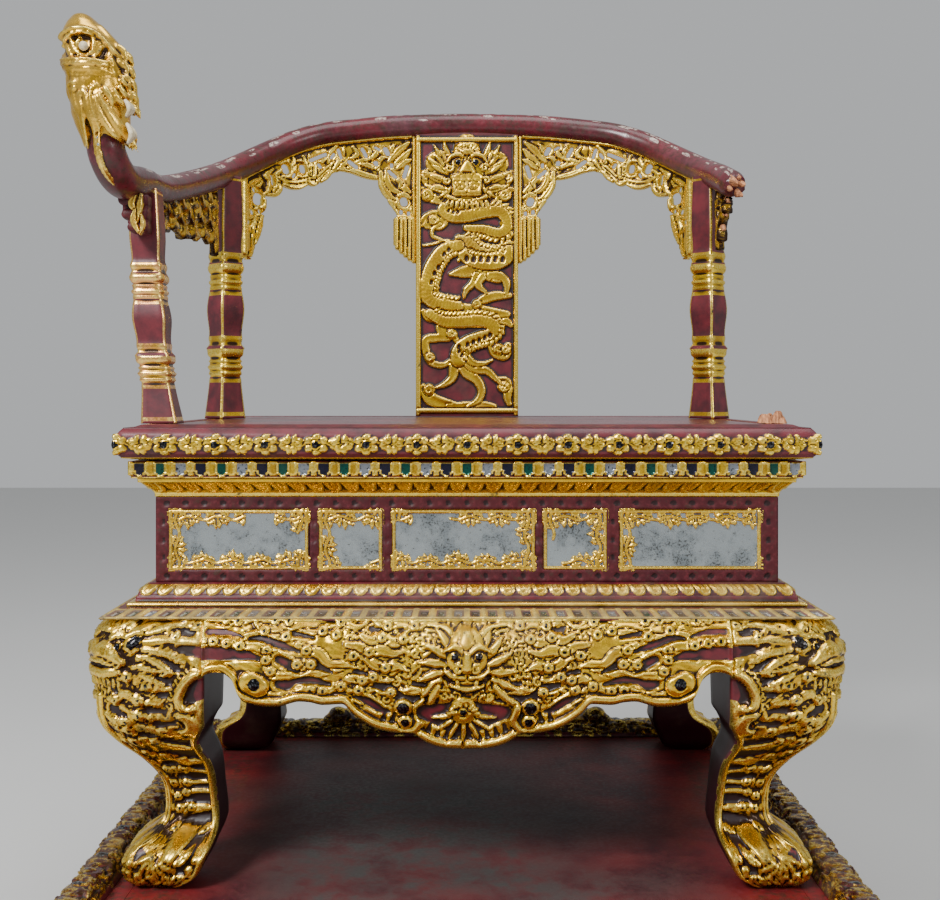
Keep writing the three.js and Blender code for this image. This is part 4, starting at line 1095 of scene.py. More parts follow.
def stud_dents(u, z, cx, cz, radius=5.0, depth=2.3):
    """Small round dents with a raised pip, centred at cx, cz."""
    d = np.hypot(u - cx, z - cz)
    return -depth * (1 - smoothstep(radius * 0.55, radius, d)) + 1.0 * np.exp(-(d / 1.9) ** 2)


def waist_pattern(u, half_length, v, quarter):
    field = plain(u, v)
    z = waist_profile[:, 1][:, None]
    x = u[None, :]
    panels = LONG_PANELS if quarter % 2 == 0 else SHORT_PANELS
    height = np.zeros((len(v), len(u)))
    near, _ = repeat(u, half_length, STUD_PITCH)
    for row in (WAIST_BOTTOM + 6.6, WAIST_TOP - 7.4):
        height += stud_dents(near[None, :], z, 0, row)
    edges = [-half_length] + [e for c, w in panels for e in (c - w, c + w)] + [half_length]
    for left, right in zip(edges[::2], edges[1::2]):
        for level in (582, 603, 624):
            height += stud_dents(x, z, (left + right) / 2, level)
    for centre, wide in panels:
        inside = np.minimum(wide - np.abs(x - centre), np.minimum(z - PANEL_LOW, PANEL_HIGH - z))
        height = np.where(inside > 0, -5 * smoothstep(0, 1.5, inside), height)
    field["height"] = height
    return field


ring_mesh("waist_box_boards", waist_profile, RED, waist_pattern, 2.8, WAIST_HALF - 25,
          replaces=["waist_box"])


# ---------- pierced pieces ----------
def pierced_mesh(name, relief, place, material, replaces=(), keep=None, mirrored=False, both=False):
    """A pierced carving: what the strokes cover stays, the rest is open.

    place(x, z, height) gives the point at a height over the middle plane. The back is flat, or with
    both=True carved like the front; mirrored turns the faces round for a left-hand copy.
    """
    x, z = np.meshgrid(relief.xs, relief.zs)
    cover = relief.cover
    step = relief.step
    solid = cover > -0.55 * step
    if keep is not None:
        solid &= keep(x, z)
    gz, gx = np.gradient(cover, step)
    length = np.hypot(gx, gz).clip(0.3)
    shift = np.where(cover < 0, -cover / length, 0).clip(0, 0.8 * step)
    px, pz = x + shift * gx / length, z + shift * gz / length
    cells = solid[:-1, :-1] & solid[1:, :-1] & solid[:-1, 1:] & solid[1:, 1:]
    rows, cols = cover.shape
    at = np.arange(rows * cols).reshape(rows, cols)
    quads = np.stack([at[:-1, :-1], at[:-1, 1:], at[1:, 1:], at[1:, :-1]], axis=-1)[cells]
    used = np.unique(quads)
    index = np.full(rows * cols, -1)
    index[used] = np.arange(len(used))
    quads = index[quads]
    h = relief.height.ravel()[used]
    edge = smoothstep(-0.2, 1.2, cover.ravel()[used])
    front_height = h * (0.55 + 0.45 * edge)
    front = place(px.ravel()[used], pz.ravel()[used], front_height)
    back = place(px.ravel()[used], pz.ravel()[used], -front_height if both else 0 * front_height)
    n = len(used)
    pairs = np.concatenate([quads[:, [0, 1]], quads[:, [1, 2]], quads[:, [2, 3]], quads[:, [3, 0]]])
    key = pairs.min(axis=1) * n + pairs.max(axis=1)
    _, first, count = np.unique(key, return_index=True, return_counts=True)
    open_edges = pairs[first[count == 1]]
    walls = np.stack([open_edges[:, 1], open_edges[:, 0], open_edges[:, 0] + n,
                      open_edges[:, 1] + n], axis=-1)
    faces = np.concatenate([quads, quads[:, ::-1] + n, walls])
    if mirrored:
        faces = faces[:, ::-1]
    gold = relief.gold.ravel()[used]
    extra = {"gold": np.concatenate([gold, gold * both]),
             "bead": np.concatenate([relief.bead.ravel()[used], gold * 0])}
    return make_mesh(name, np.concatenate([front, back]), faces.tolist(), material, extra,
                     replaces=replaces)


def panel_border(centre, wide, gaps, seed, step):
    """A gilt frame with leafage on its inner edge; gaps are (side, from, to) stretches that are lost."""
    relief = Relief(centre - wide - 1, centre + wide + 1, PANEL_LOW - 1, PANEL_HIGH + 1, step)
    rng = np.random.default_rng(seed)
    x0, x1, z0, z1 = centre - wide, centre + wide, PANEL_LOW, PANEL_HIGH
    runs = [("bottom", (x0, z0), (x1, z0), math.pi / 2), ("top", (x0, z1), (x1, z1), -math.pi / 2),
            ("left", (x0, z0), (x0, z1), 0.0), ("right", (x1, z0), (x1, z1), math.pi)]
    for side, a, b, inward in runs:
        a, b = np.array(a, float), np.array(b, float)
        length = np.linalg.norm(b - a)
        count = max(2, int(round(length / 17)))
        for k in range(count + 1):
            share = k / count
            if any(side == s and low <= share <= high for s, low, high in gaps):
                continue
            point = a + (b - a) * share + 5.0 * np.array([math.cos(inward), math.sin(inward)])
            lean = 0.9 if k % 2 else -0.9
            reach = 14.5 + 6.0 * rng.random()
            relief.leaf(point[0], point[1], inward + lean * 1.0, reach * 1.1, 10.5, 3.6, 0.8, -lean * 1.0)
            relief.leaf(point[0], point[1], inward - lean * 0.8, reach * 0.85, 9.0, 3.4, 1.0, lean)
            relief.band([point, point + reach * 0.5 * np.array([math.cos(inward),
                                                                math.sin(inward)])], (11, 8), 3.4,
                        1.4, groove=0.8, flat=0.4, hollow=0.9)
            if k % 3 == 1:
                relief.spiral(*(point + 4.5 * np.array([math.cos(inward), math.sin(inward)])), 5.2, 1.0,
                              inward, 1 if k % 2 else -1, 3.4, 3.2, 2.0)
    for side, a, b, inward in runs:
        a, b = np.array(a, float), np.array(b, float)
        along = np.linspace(0, 1, 60)
        away = np.array([math.cos(inward), math.sin(inward)])
        wave = 10.5 + 2.6 * np.sin(along * np.linalg.norm(b - a) / 17 * math.pi)
        vine = a + (b - a) * along[:, None] + wave[:, None] * away
        kept = np.array([not any(side == s and low <= t <= high for s, low, high in gaps) for t in along])
        for run in np.split(np.arange(60), np.flatnonzero(np.diff(kept.astype(int))) + 1):
            if kept[run[0]] and len(run) > 2:
                relief.band(vine[run][::4], 4.6, 2.8, 0.8, groove=0.6)
    for _, a, b, _ in runs:
        a, b = np.array(a, float), np.array(b, float)
        middle = np.array([centre, (z0 + z1) / 2])
        a, b = a + np.sign(middle - a) * 2.6, b + np.sign(middle - b) * 2.6
        relief.band([a, b], 5.2, 3.4, 0.4, groove=0.3)
    return relief


PANEL_GAPS = {
    ("front", 1): [("right", 0.3, 0.6), ("top", 0.55, 0.75)],
    ("front", 2): [("right", 0.1, 0.9), ("bottom", 0.4, 0.8)],
    ("front", 3): [("left", 0.15, 0.85), ("top", 0.15, 0.4)],
    ("front", 4): [("left", 0.0, 0.5), ("bottom", 0.0, 0.3)],
    ("front", 5): [("bottom", 0.1, 0.95), ("right", 0.0, 0.8)],
}
for face, quarter, panels in (("front", 0, LONG_PANELS), ("right", 1, SHORT_PANELS),
                              ("left", -1, SHORT_PANELS)):
    surface = WAIST_HALF - (HALF_DIFFERENCE if quarter == 0 else 0)
    for number, (centre, wide) in enumerate(panels, 1):
        if quarter == -1:
            centre = -centre
        border = panel_border(centre, wide, PANEL_GAPS.get((face, number), []),
                              10 * (quarter + 2) + number,
                              1.4 if quarter == 0 else 2.2)

        def on_panel(x, z, height):
            return turned(np.stack([x, -(surface - 3.4 + height), z], axis=-1), quarter)

        label = number if quarter != -1 else 4 - number
        pierced_mesh(f"panel_border_{face}_{label}", border, on_panel, CARVED_PANEL,
                     replaces=[f"panel_moulding_{face}_{label}"])


# ---------- legs ----------
leg_outside = profile_of([
    [200, 390], [211, 399], [222, 402], [243, 396], [262, 368], [290, 359], [320, 364], [345, 380],
    [375, 408],
    [400, 427], [440, 436], [480, 437], [505, 429], [LEG_TOP, 419],
])
leg_inside = profile_of([
    [200, 338], [212, 318], [235, 304], [262, 295], [300, 298], [340, 302], [372, 311], [384, 307],
    [395, 301],
    [LEG_TOP, 299.5],
])


# Where the red ground shows between the clouds of a leg: points (distance in from the corner, height), width.
LEG_OPENINGS = [
    ([(88, 470), (104, 466), (112, 462)], (8, 11, 4)), ([(78, 451), (90, 452), (102, 447)], (5, 8, 4)),
    ([(88, 434), (100, 434)], (7, 5)), ([(72, 416), (90, 414)], (7, 4)), ([(74, 399), (94, 400)], (8, 4)),
    ([(18, 450), (28, 444), (36, 437)], (12, 9, 4)), ([(24, 418), (34, 415), (44, 410)], (9, 10, 4)),
    ([(104, 505), (118, 503)], (6, 6)), ([(112, 486), (124, 484), (138, 482)], (8, 12, 14)),
    ([(44, 386), (58, 384)], (6, 3)), ([(62, 376), (84, 372), (100, 374)], (5, 9, 6)),
    ([(46, 358), (62, 355), (82, 353)], (6, 12, 14)), ([(22, 340), (36, 342)], (5, 3)),
    ([(26, 323), (40, 322), (54, 322)], (6, 11, 9)), ([(50, 334), (64, 334)], (5, 7)),
    ([(26, 294), (42, 294), (58, 294)], (7, 12, 12)), ([(30, 309), (46, 309), (60, 309)], (3, 5, 5)),
    ([(32, 270), (46, 271), (58, 272)], (7, 12, 12)),
    ([(12, 244), (20, 238), (30, 234)], (6, 11, 4)),
    ([(62, 256), (72, 244), (74, 230), (68, 216)], (5, 13, 14, 5)),
    ([(6, 340), (10, 330)], (3, 3)), ([(8, 396), (14, 388)], (5, 3)),
]


def leg_relief(step):
    """Carving of one outer face of a leg: (distance in from the outer corner, height)."""
    r = Relief(-1, 142, 198, LEG_TOP + 1, step)
    r.sheet(3.4, 0.9, 15, 8)
    small_curls(r, 4, 110, 380, 514, 11.5, 61)
    small_curls(r, 4, 84, 204, 268, 11, 62)
    # clouds over the knee and down the shin
    for path in (
        [(60, 512), (82, 510), (98, 514), (116, 512), (141, 514)],
        [(66, 500), (82, 504), (98, 498), (112, 494), (141, 495)],
        [(70, 484), (84, 488), (98, 482), (108, 474), (118, 472)],
        [(58, 466), (74, 462), (90, 461), (104, 456)],
        [(40, 452), (56, 456), (72, 444), (90, 441), (104, 440)],
        [(20, 430), (34, 428), (48, 436), (62, 428), (80, 424)],
        [(12, 412), (22, 404), (40, 402), (58, 410), (76, 406)],
        [(18, 396), (36, 390), (52, 396), (70, 386), (96, 386)],
        [(10, 378), (26, 374), (44, 376), (60, 366), (84, 364)],
        [(6, 362), (20, 356), (34, 350), (44, 344), (70, 344)],
        [(8, 344), (20, 330), (34, 332), (48, 330), (62, 328)],
        [(6, 322), (18, 312), (30, 314), (46, 315), (60, 314)],
        [(8, 302), (18, 296), (24, 302), (40, 302), (58, 302)],
        [(6, 284), (18, 282), (30, 284), (44, 283), (60, 284)],
    ):
        stream(r, path, 10.5, 5.0, 2.0)
    for points, width in LEG_OPENINGS:
        r.cut(points, width)
    cups(r, [(98, 514), (118, 512), (100, 499), (70, 465), (94, 461), (74, 445), (52, 455),
             (34, 428), (62, 428),
             (40, 402), (58, 410), (36, 391), (74, 388), (26, 374), (50, 373)], 6.6, 5.5, 2.5)
    cups(r, [(20, 357), (34, 351), (18, 332), (36, 332), (14, 314), (30, 314), (16, 297), (26, 302),
             (18, 283),
             (32, 284), (60, 262)], 5.4, 5.5, 2.5)
    # the mask on the corner of the knee: crown, brow curls, eye, muzzle, lips and a swept mane
    r.band([(-1, 510), (18, 513), (38, 511), (54, 505)], (13, 15, 14, 8), 7.0, 2.0, vein=1.0)
    r.band([(22, 500), (38, 505), (56, 504), (72, 496)], (10, 14, 13, 5), 7.0, 3.0, vein=0.9)
    for k in range(5):
        r.spiral(6 + 12 * k, 509 - 1.2 * k, 6.5, 1.1, 2.4, -1, 4.6, 5.0, 5.0)
    r.band([(58, 494), (58.1, 494)], 25, 6.0, 3.5)
    r.band([(44, 500), (58, 507), (74, 499)], (4, 7, 4), 4.5, 7.5)
    r.stud(58, 494, 7.5, 5.0, 6.5, collar=False)
    r.stud(38, 489, 5.5, 4.5, 4.0)
    r.band([(-1, 482), (16, 486), (32, 480), (46, 472)], (18, 22, 18, 10), 8.0, 2.5, flat=0.7)
    r.spiral(22, 484, 7.5, 1.2, 0.5, 1, 4.6, 4.0, 7.5)
    r.band([(-1, 472), (14, 472), (30, 468), (44, 466)], (6, 8, 7, 4), 5.0, 5.0)
    r.cut([(-1, 467), (14, 467), (30, 464)], (2, 2.5, 1.5))
    r.band([(-1, 459), (14, 458), (30, 461), (44, 460)], (11, 14, 13, 6), 7.0, 3.0)
    for k in range(5):
        r.leaf(5 + 9 * k, 454 - k, -math.pi / 2, 10, 5.5, 5.0, 2.5, 0.0)
    for k in range(4):
        r.leaf(66 + 2 * k, 503 - 8 * k, 0.5 - 0.28 * k, 40, 11, 5.0, 3.0, -0.35)
        r.leaf(62 + 2 * k, 486 - 9 * k, -0.1 - 0.2 * k, 30, 9.5, 5.0, 3.0, 0.4)
    # inner edge: a smooth roll from the arch that ends in a curl, with ribs and a lobe below it
    arch = [(140, 459.5), (130, 458), (121, 452), (114, 443), (109, 432), (109, 422), (115, 416),
            (122, 418)]
    for k, (x, z) in enumerate(smooth_path([(130, 469), (114, 460), (104, 447), (98, 432),
                                            (99, 418)], 7.5)):
        r.leaf(x, z, -0.5 - 0.05 * k, 10, 4.6, 5.0, 2.0, 0.0)
    r.cut([(142, 444), (131, 440), (123, 430)], (22, 24, 12))
    r.band(arch, (10, 11.5, 12, 11, 9), 8.0, 2.5, groove=1.5)
    r.band([(104, 410), (114, 405), (113, 395), (106, 388), (94, 388)], (8, 15, 16, 14, 6), 7.5, 3.0,
           groove=2.0, hollow=1.5)
    # foot: curled mane, a ring of beads and rosettes
    r.spiral(66, 238, 9, 1.5, 1.0, -1, 5.5, 6.5, 3.0)
    r.band([(30, 262), (44, 256), (54, 244), (52, 230), (40, 222)], (10, 16, 17, 14, 7), 6.0, 3.0,
           vein=1.0)
    for k in range(6):
        angle = math.pi * (1.0 + 0.15 * k)
        r.leaf(42 + 6 * math.cos(angle), 238 + 8 * math.sin(angle), angle, 20, 9.0, 5.0, 3.0, 0.5)
    for k in range(6):
        r.spiral(8 + 14 * k, 211 + 2 * (k % 2), 7.0, 1.1, 1.2 * k, 1 if k % 2 else -1, 5.0, 5.5, 3.0)
    cups(r, [(80, 262), (86, 250), (86, 236), (80, 224), (70, 214), (8, 232), (8, 252), (22, 264),
             (6, 220)], 5.0,
         5.5, 2.5)
    return r


leg_carving = leg_relief(1.15)
leg_corner = profile_of([[200, 22], [262, 12], [330, 13], [375, 22], [415, 40], [450, 46], [LEG_TOP, 44]])
LEG_ROWS = 126
FACE_COLS = 48
PLAIN_COLS = 9


def leg(name, sign_x, sign_y, material, rows=LEG_ROWS, cols=FACE_COLS):
    """A cabriole leg: two carved outer faces that meet in a rounded corner, and two plain inner faces."""
    z = np.linspace(DECK, LEG_TOP - 0.3, rows)[:, None]
    outside, inside = leg_outside(z), leg_inside(z)
    width = outside - inside
    share = np.linspace(1, 0, cols)[None, :] ** 1.0
    s = share * width
    marks = leg_carving.read(s, np.broadcast_to(z, s.shape))
    edge_band = (np.exp(-((width - s - 4.5) / 3.6) ** 4) * (z < 384)
                 + np.exp(-((s - 4.0) / 3.0) ** 4) * (z < 436) * (z > 266))
    height = np.maximum(marks["height"], 7.5 * edge_band) * smoothstep(0, 2.5, width - s)
    height = height * smoothstep(0, 4, z - DECK + 2)
    gold = np.maximum(marks["gold"], edge_band > 0.5)
    bead = marks["bead"] * (edge_band < 0.5)
    ground = 6.0 + 3.0 * smoothstep(385, 425, z)
    lift = height - ground
    radius = leg_corner(z)
    turn = (1 - np.clip(s / radius, 0, 1)) * math.pi / 4
    nx, ny = np.sin(turn), np.cos(turn)
    corner_x = np.where(s < radius, outside - radius + radius * nx, outside - s)
    corner_y = np.where(s < radius, outside - radius + radius * ny, outside)
    x = corner_x + lift * nx
    y = corner_y + lift * ny
    front = np.stack([x, -(y - HALF_DIFFERENCE), np.broadcast_to(z, s.shape)], axis=-1)
    side = np.stack([y, -(x - HALF_DIFFERENCE), np.broadcast_to(z, s.shape)], axis=-1)[:, ::-1]
    t = np.linspace(0, 1, PLAIN_COLS + 2)[None, 1:-1]
    level = np.broadcast_to(z, (rows, PLAIN_COLS))
    inner_y = -(inside - HALF_DIFFERENCE)
    outer_cut = outside - ground
    back = np.stack([outer_cut + (inside - outer_cut) * t, np.broadcast_to(inner_y, level.shape),
                     level], axis=-1)
    inner = np.stack([np.broadcast_to(inside, level.shape),
                      inner_y + (-(outer_cut - HALF_DIFFERENCE) - inner_y) * t, level], axis=-1)
    corner = np.stack([inside, inner_y, z], axis=-1)
    ring = np.concatenate([front, side[:, 1:], back, corner, inner], axis=1)
    ring = ring * (sign_x, sign_y, 1)
    count = ring.shape[1]
    verts = ring.reshape(-1, 3)
    faces = grid_faces(rows, count, wrap=True)
    if sign_x * sign_y < 0:
        faces = faces[:, ::-1]
    faces = faces.tolist()
    low, high = list(range(count)), list(range((rows - 1) * count, rows * count))
    faces += [low[::-1], high] if sign_x * sign_y > 0 else [low, high[::-1]]
    extra = {}
    for key, values in (("gold", gold * 1.0), ("bead", bead)):
        whole = np.zeros((rows, count))
        whole[:, :cols] = values
        whole[:, cols:2 * cols - 1] = values[:, ::-1][:, 1:]
        if key == "gold":
            whole[:, [2 * cols - 1, -1]] = 0.0
        extra[key] = whole.ravel()
    shade = np.zeros((rows, count))
    shade[:, 2 * cols - 1:] = 1.0
    extra["shade"] = shade.ravel()
    return make_mesh(f"{name}_carving", verts, faces, material, extra, replaces=[name])


for side_name, sign in (("left", -1), ("right", 1)):
    leg(f"leg_front_{side_name}", sign, 1, CARVED_LEG)
    leg(f"leg_rear_{side_name}", sign, -1, CARVED_LEG, 80, 30)


# ---------- posts ----------
post_shape = profile_of([
    [0, 22.5], [0.03, 21.5], [0.14, 18], [0.165, 17.4], [0.172, 17.0], [0.18, 19.0], [0.187, 20.0],
    [0.196, 18.4],
    [0.20, 18.6], [0.212, 21.4], [0.224, 18.6], [0.228, 18.3], [0.236, 20.0], [0.244, 18.0], [0.25, 17.8],
    [0.262, 21.0], [0.285, 21.6], [0.31, 17.6], [0.33, 18.6], [0.35, 18.0], [0.45, 20.6], [0.50, 19.2],
    [0.53, 17.8], [0.538, 19.8], [0.547, 18.0], [0.551, 18.2], [0.562, 20.8], [0.572, 18.2],
    [0.577, 18.0],
    [0.585, 19.6], [0.594, 17.6], [0.605, 20.2], [0.625, 21.6], [0.65, 17.8], [0.67, 19.4], [0.70, 17.4],
    [0.8, 18.9], [1, 17],
])
RINGS = [(0.17, 0.29), (0.531, 0.64)]       # stretches of a post's height that are turned rings, all gilt
COLLARS = [(0.30, 0.34), (0.645, 0.68)]


def post(name, foot, head, sway, turn, material):
    """A post of squared blocks and gilt rings, its arrises picked out in gold."""
    rows, cols = 132, 48
    t = np.linspace(0, 1, rows)[:, None]
    angle = (np.arange(cols) / cols * 2 * math.pi)[None, :]
    half = post_shape(t)
    in_ring = np.zeros_like(t, bool)
    for low, high in RINGS:
        in_ring |= (t > low) & (t < high)
    in_collar = np.zeros_like(t, bool)
    for low, high in COLLARS:
        in_collar |= (t > low) & (t < high)
    power = np.where(in_ring, 5.0, 11.0)
    reach = half / (np.abs(np.cos(angle)) ** power + np.abs(np.sin(angle)) ** power) ** (1 / power)
    px, py = reach * np.cos(angle), reach * np.sin(angle)
    arris = np.minimum(np.abs(px), np.abs(py)) / half
    sunk = 1 - 0.035 * (1 - smoothstep(0.74, 0.78, arris)) * ~in_ring
    px, py = px * sunk, py * sunk
    gold = np.where(in_ring | (in_collar & (arris > 0.0)), 1.0, arris > 0.78) * np.ones_like(px)
    inner_line = np.zeros_like(px)
    for level in (0.02, 0.155, 0.262, 0.515, 0.612, 0.985):
        inner_line += np.exp(-((t - level) / 0.006) ** 4) * np.ones_like(px)
    gold = np.maximum(gold, inner_line > 0.5)
    c, s = math.cos(turn), math.sin(turn)
    foot, head = np.asarray(foot, float), np.asarray(head, float)
    centre = foot + (head - foot) * t
    centre = centre + np.concatenate([sway * np.sin(math.pi * t), 0 * t, 0 * t], axis=1)
    x = centre[:, 0:1] + c * px - s * py
    y = centre[:, 1:2] + s * px + c * py
    z = centre[:, 2:3] + 0 * px
    verts, faces = closed_tube(np.stack([x, y, z], axis=-1))
    return make_mesh(f"{name}_turned", verts, faces, material, {"gold": gold.ravel()}, replaces=[name])


POST_FOOT = SEAT_TOP + 0.3
post("post_front_left", (-369, -252, POST_FOOT), (-389, -252, 1022), -4, 0, CARVED_POST_LIGHT)
for side_name, sign in (("left", -1), ("right", 1)):
    post(f"post_rear_{side_name}", (sign * 353, 60, POST_FOOT), (sign * 351, 60, 1092), 0, math.pi / 4,
         CARVED_POST)

# ---------- the arm rail ----------
RAIL_R = 19.0
rail_half = np.array([[0, 228, 1202.5], [60, 227, 1201.5], [120, 224, 1198.5], [175, 216, 1191.8],
                      [228, 203, 1182.5], [268, 184, 1167], [300, 160, 1147.5], [328, 123, 1125],
                      [347, 85, 1106.5],
                      [356, 52, 1094.5], [361, 20, 1084.5]])
rail_points = np.vstack([
    [[370, -42, 1062.5], [366, -12, 1073]], rail_half[::-1], rail_half[1:] * (-1, 1, 1),
    [[-376, -75, 1058], [-388, -180, 1034], [-393, -255, 1029], [-401, -318, 1024], [-408, -350, 1046],
     [-412, -352, 1078], [-414, -352, 1100]],
])


def tube_rings(path, radius, cols, up=(0, 0, 1)):
    """Rings of points round a path; radius(share, angle) in millimetres, angle 0 is the top."""
    tangent = np.gradient(path, axis=0)
    tangent /= np.linalg.norm(tangent, axis=1)[:, None]
    side = np.cross(tangent, up)
    for k in range(len(side)):
        if np.linalg.norm(side[k]) < 0.35:
            side[k] = side[k - 1]
        if k and np.dot(side[k], side[k - 1]) < 0:
            side[k] = -side[k]
    side /= np.linalg.norm(side, axis=1)[:, None]
    top = np.cross(side, tangent)
    share = np.linspace(0, 1, len(path))[:, None]
    angle = (np.arange(cols) / cols * 2 * math.pi)[None, :]
    r = radius(share, angle)
    return (path[:, None] + r[..., None] * (np.cos(angle)[..., None] * top[:, None]
                                            + np.sin(angle)[..., None] * side[:, None]))


def faces_out(verts, faces):
    """The faces turned, if need be, so that they look outward."""
    v = np.asarray(verts)
    total = 0.0
    for f in faces[:: max(1, len(faces) // 4000)]:
        a, b, c = v[f[0]], v[f[1]], v[f[2]]
        total += np.dot(np.cross(b - a, c - a), (a + b + c) / 3 - v.mean(axis=0))
    return faces if total > 0 else [list(f)[::-1] for f in faces]


def noise_1d(x, seed):
    """A smooth random line between -1 and 1."""
    rng = np.random.default_rng(seed)
    values = rng.random(512) * 2 - 1
    i = np.floor(x).astype(int)
    k = x - i
    k = k * k * (3 - 2 * k)
    return values[i % 512] * (1 - k) + values[(i + 1) % 512] * k


rail_path = smooth_path(rail_points, 5.0)
rail_rng = np.random.default_rng(7)
rail_nicks = [(rail_rng.random() * 0.93, rail_rng.normal(-0.2, 0.35), 1.2 + 3 * rail_rng.random(),
               0.5 + 0.8 * rail_rng.random()) for _ in range(130)]
rail_length = 5.0 * len(rail_path)
rail_chip = np.zeros((len(rail_path), 36))


def rail_radius(share, angle):
    r = np.full(np.broadcast(share, angle).shape, RAIL_R - 0.2)
    wrapped = (angle + math.pi) % (2 * math.pi) - math.pi
    for at, around, size, depth in rail_nicks:
        d = np.hypot((share - at) * rail_length / (size * 3.5), (wrapped - around) * RAIL_R / size)
        bite = 1 - smoothstep(0.6, 1.0, d)
        r = r - depth * bite
        rail_chip[:] = np.maximum(rail_chip, bite)
    r = r + 2.6 * smoothstep(0.84, 0.95, share)
    ragged = smoothstep(0.012, 0.0, share)
    return r - ragged * (3 + 4 * np.abs(noise_1d(angle * 4 + 9, 3)))


rail_rings = tube_rings(rail_path, rail_radius, 36)
verts, faces = closed_tube(rail_rings)
make_mesh("arm_rail_bow", verts, faces_out(verts, faces), RAIL_LACQUER, {"chip": rail_chip.ravel()},
          replaces=["arm_rail"])


def shard(name, start, along, length, wide, thick, seed, material, replaces=()):
    """A splinter of broken wood: a tapering strip with a ragged stepped end."""
    path = np.asarray(start, float) + np.asarray(along, float) * np.linspace(0, length, 22)[:, None]

    def radius(share, angle):
        grain = 0.82 + 0.18 * noise_1d(angle * 5 + seed, seed)
        taper = np.clip(1 - share, 0.02, 1) ** (0.45 + 0.3 * noise_1d(angle * 3, seed + 1))
        r = wide * thick / np.hypot(thick * np.cos(angle), wide * np.sin(angle))
        return r * grain * taper
    rings = tube_rings(path, radius, 28)
    verts, faces = closed_tube(rings)
    make_mesh(name, verts, faces_out(verts, faces), material, replaces=replaces)


for number, (dx, dz, length, wide, thick) in enumerate(
        [(-6, 8, 30, 9, 5), (7, 4, 20, 7, 5), (2, -9, 26, 8, 4), (-9, -3, 16, 6, 4), (4, 12, 12, 5, 4)]):
    shard(f"rail_splinter_{number}", (370 + dx, -40, 1062.5 + dz), (0.12, -0.94, -0.3), length, wide,
          thick,
          11 + number, RAW_WOOD, replaces=["arm_rail"])
for number, (dx, dy, height, wide, thick) in enumerate(
        [(-9, 0, 11, 11, 12), (4, -4, 15, 9, 9), (12, 5, 9, 8, 9), (-3, 6, 12, 7, 8), (8, -8, 7, 9, 6)]):
    shard(f"post_stump_splinter_{number}", (371 + dx, -252 + dy, SEAT_TOP + 0.4), (0.05, -0.02, 1),
          height, wide,
          thick, 31 + number, RAW_WOOD, replaces=["post_stump_front_right"])

# ---------- splat ----------
SPLAT_HALF = 81.0
SPLAT_FACE = 215.0
SPLAT_LOW, SPLAT_HIGH = SEAT_TOP + 0.3, 1192.0


# Strokes of the splat's carving: points (from the middle, height), widest width, height over the ground.
SPLAT_CLOUDS = [
    ([(-70, 926), (-48, 920), (-29, 915), (-7, 908), (18, 907), (37, 904), (63, 901)], 16),
    ([(-15, 858), (-26, 872), (-42, 882), (-39, 872), (-29, 866), (-48, 864), (-64, 861), (-65, 845),
      (-57, 826),
      (-39, 821), (-24, 829)], 10),
    ([(37, 858), (47, 842), (60, 838), (65, 852)], 14),
    ([(-69, 785), (-62, 772), (-45, 762), (-20, 758)], 15),
    ([(-30, 757), (2, 757), (25, 759), (44, 756)], 9),
    ([(50, 798), (61, 795), (65, 782), (64, 768), (67, 760)], 11),
    ([(-71, 1044), (-64, 1054), (-48, 1057), (-37, 1049), (-45, 1041), (-64, 1041)], 12),
    ([(14, 915), (25, 924), (44, 930), (68, 931)], 11),
    ([(-72, 1098), (-64, 1092), (-54, 1085), (-43, 1079)], 12),
    ([(69, 1098), (59, 1092), (50, 1087), (37, 1081)], 12), ([(-72, 1124), (-62, 1112), (-52, 1104)], 13),
    ([(70, 1124), (62, 1112), (52, 1104)], 13), ([(56, 1046), (66, 1034), (66, 1018)], 10),
    ([(-69, 906), (-60, 896), (-48, 894)], 9), ([(52, 884), (62, 890), (70, 884)], 9),
]
SPLAT_BODY = [
    ([(-34, 1067), (-20, 1058), (2, 1060), (31, 1066), (53, 1066), (64, 1054), (64, 1037),
      (50, 1028), (25, 1035),
      (-1, 1038)], (19, 20, 19, 17, 14, 8)),
    ([(-13, 1021), (2, 1016), (18, 1003), (37, 997), (56, 998), (67, 1008)], (10, 20, 21, 16)),
    ([(-8, 1000), (6, 989), (31, 984), (56, 988), (67, 1000)], (15, 19, 21, 17)),
    ([(-13, 1010), (-32, 1003), (-46, 987), (-55, 968), (-59, 950), (-60, 931), (-50, 921),
      (-32, 917), (-13, 914)],
     (14, 21, 23, 22, 17, 12)),
    ([(-59, 902), (-35, 892), (-7, 892), (18, 894), (38, 890), (47, 880), (37, 867), (18, 861), (-1, 853),
      (-12, 842), (-14, 829)], (12, 18, 19, 20, 19, 20, 18)),
]
SPLAT_RIBBONS = [
    ([(-14, 836), (-20, 817), (-23, 801), (-35, 791), (-48, 786)], (16, 13, 10, 7, 3)),
    ([(-10, 832), (-1, 810), (15, 798), (23, 782), (18, 766), (0, 755)], (15, 13, 11, 9, 8, 3)),
    ([(-7, 832), (12, 815), (31, 812), (44, 801), (54, 790)], (11, 10, 9, 7, 3)),
    ([(-4, 841), (9, 825), (25, 823), (40, 829)], (9, 8, 6, 2)),
    ([(-26, 965), (-7, 968), (12, 970), (31, 965), (49, 959)], (4, 13, 16, 14, 12)),
    ([(15, 963), (9, 950), (-1, 940), (-5, 927)], (9, 8, 7, 2)),
    ([(25, 961), (18, 948), (31, 935)], (9, 8, 3)),
    ([(37, 963), (53, 962), (63, 950), (62, 932)], (9, 9, 8, 3)),
    ([(-69, 1010), (-51, 1013), (-34, 1018), (-18, 1013), (-12, 1000), (-13, 986)], (2.5, 3)),
    ([(-42, 1044), (-54, 1036), (-54, 1025), (-39, 1018)], (4, 3.5)),
]
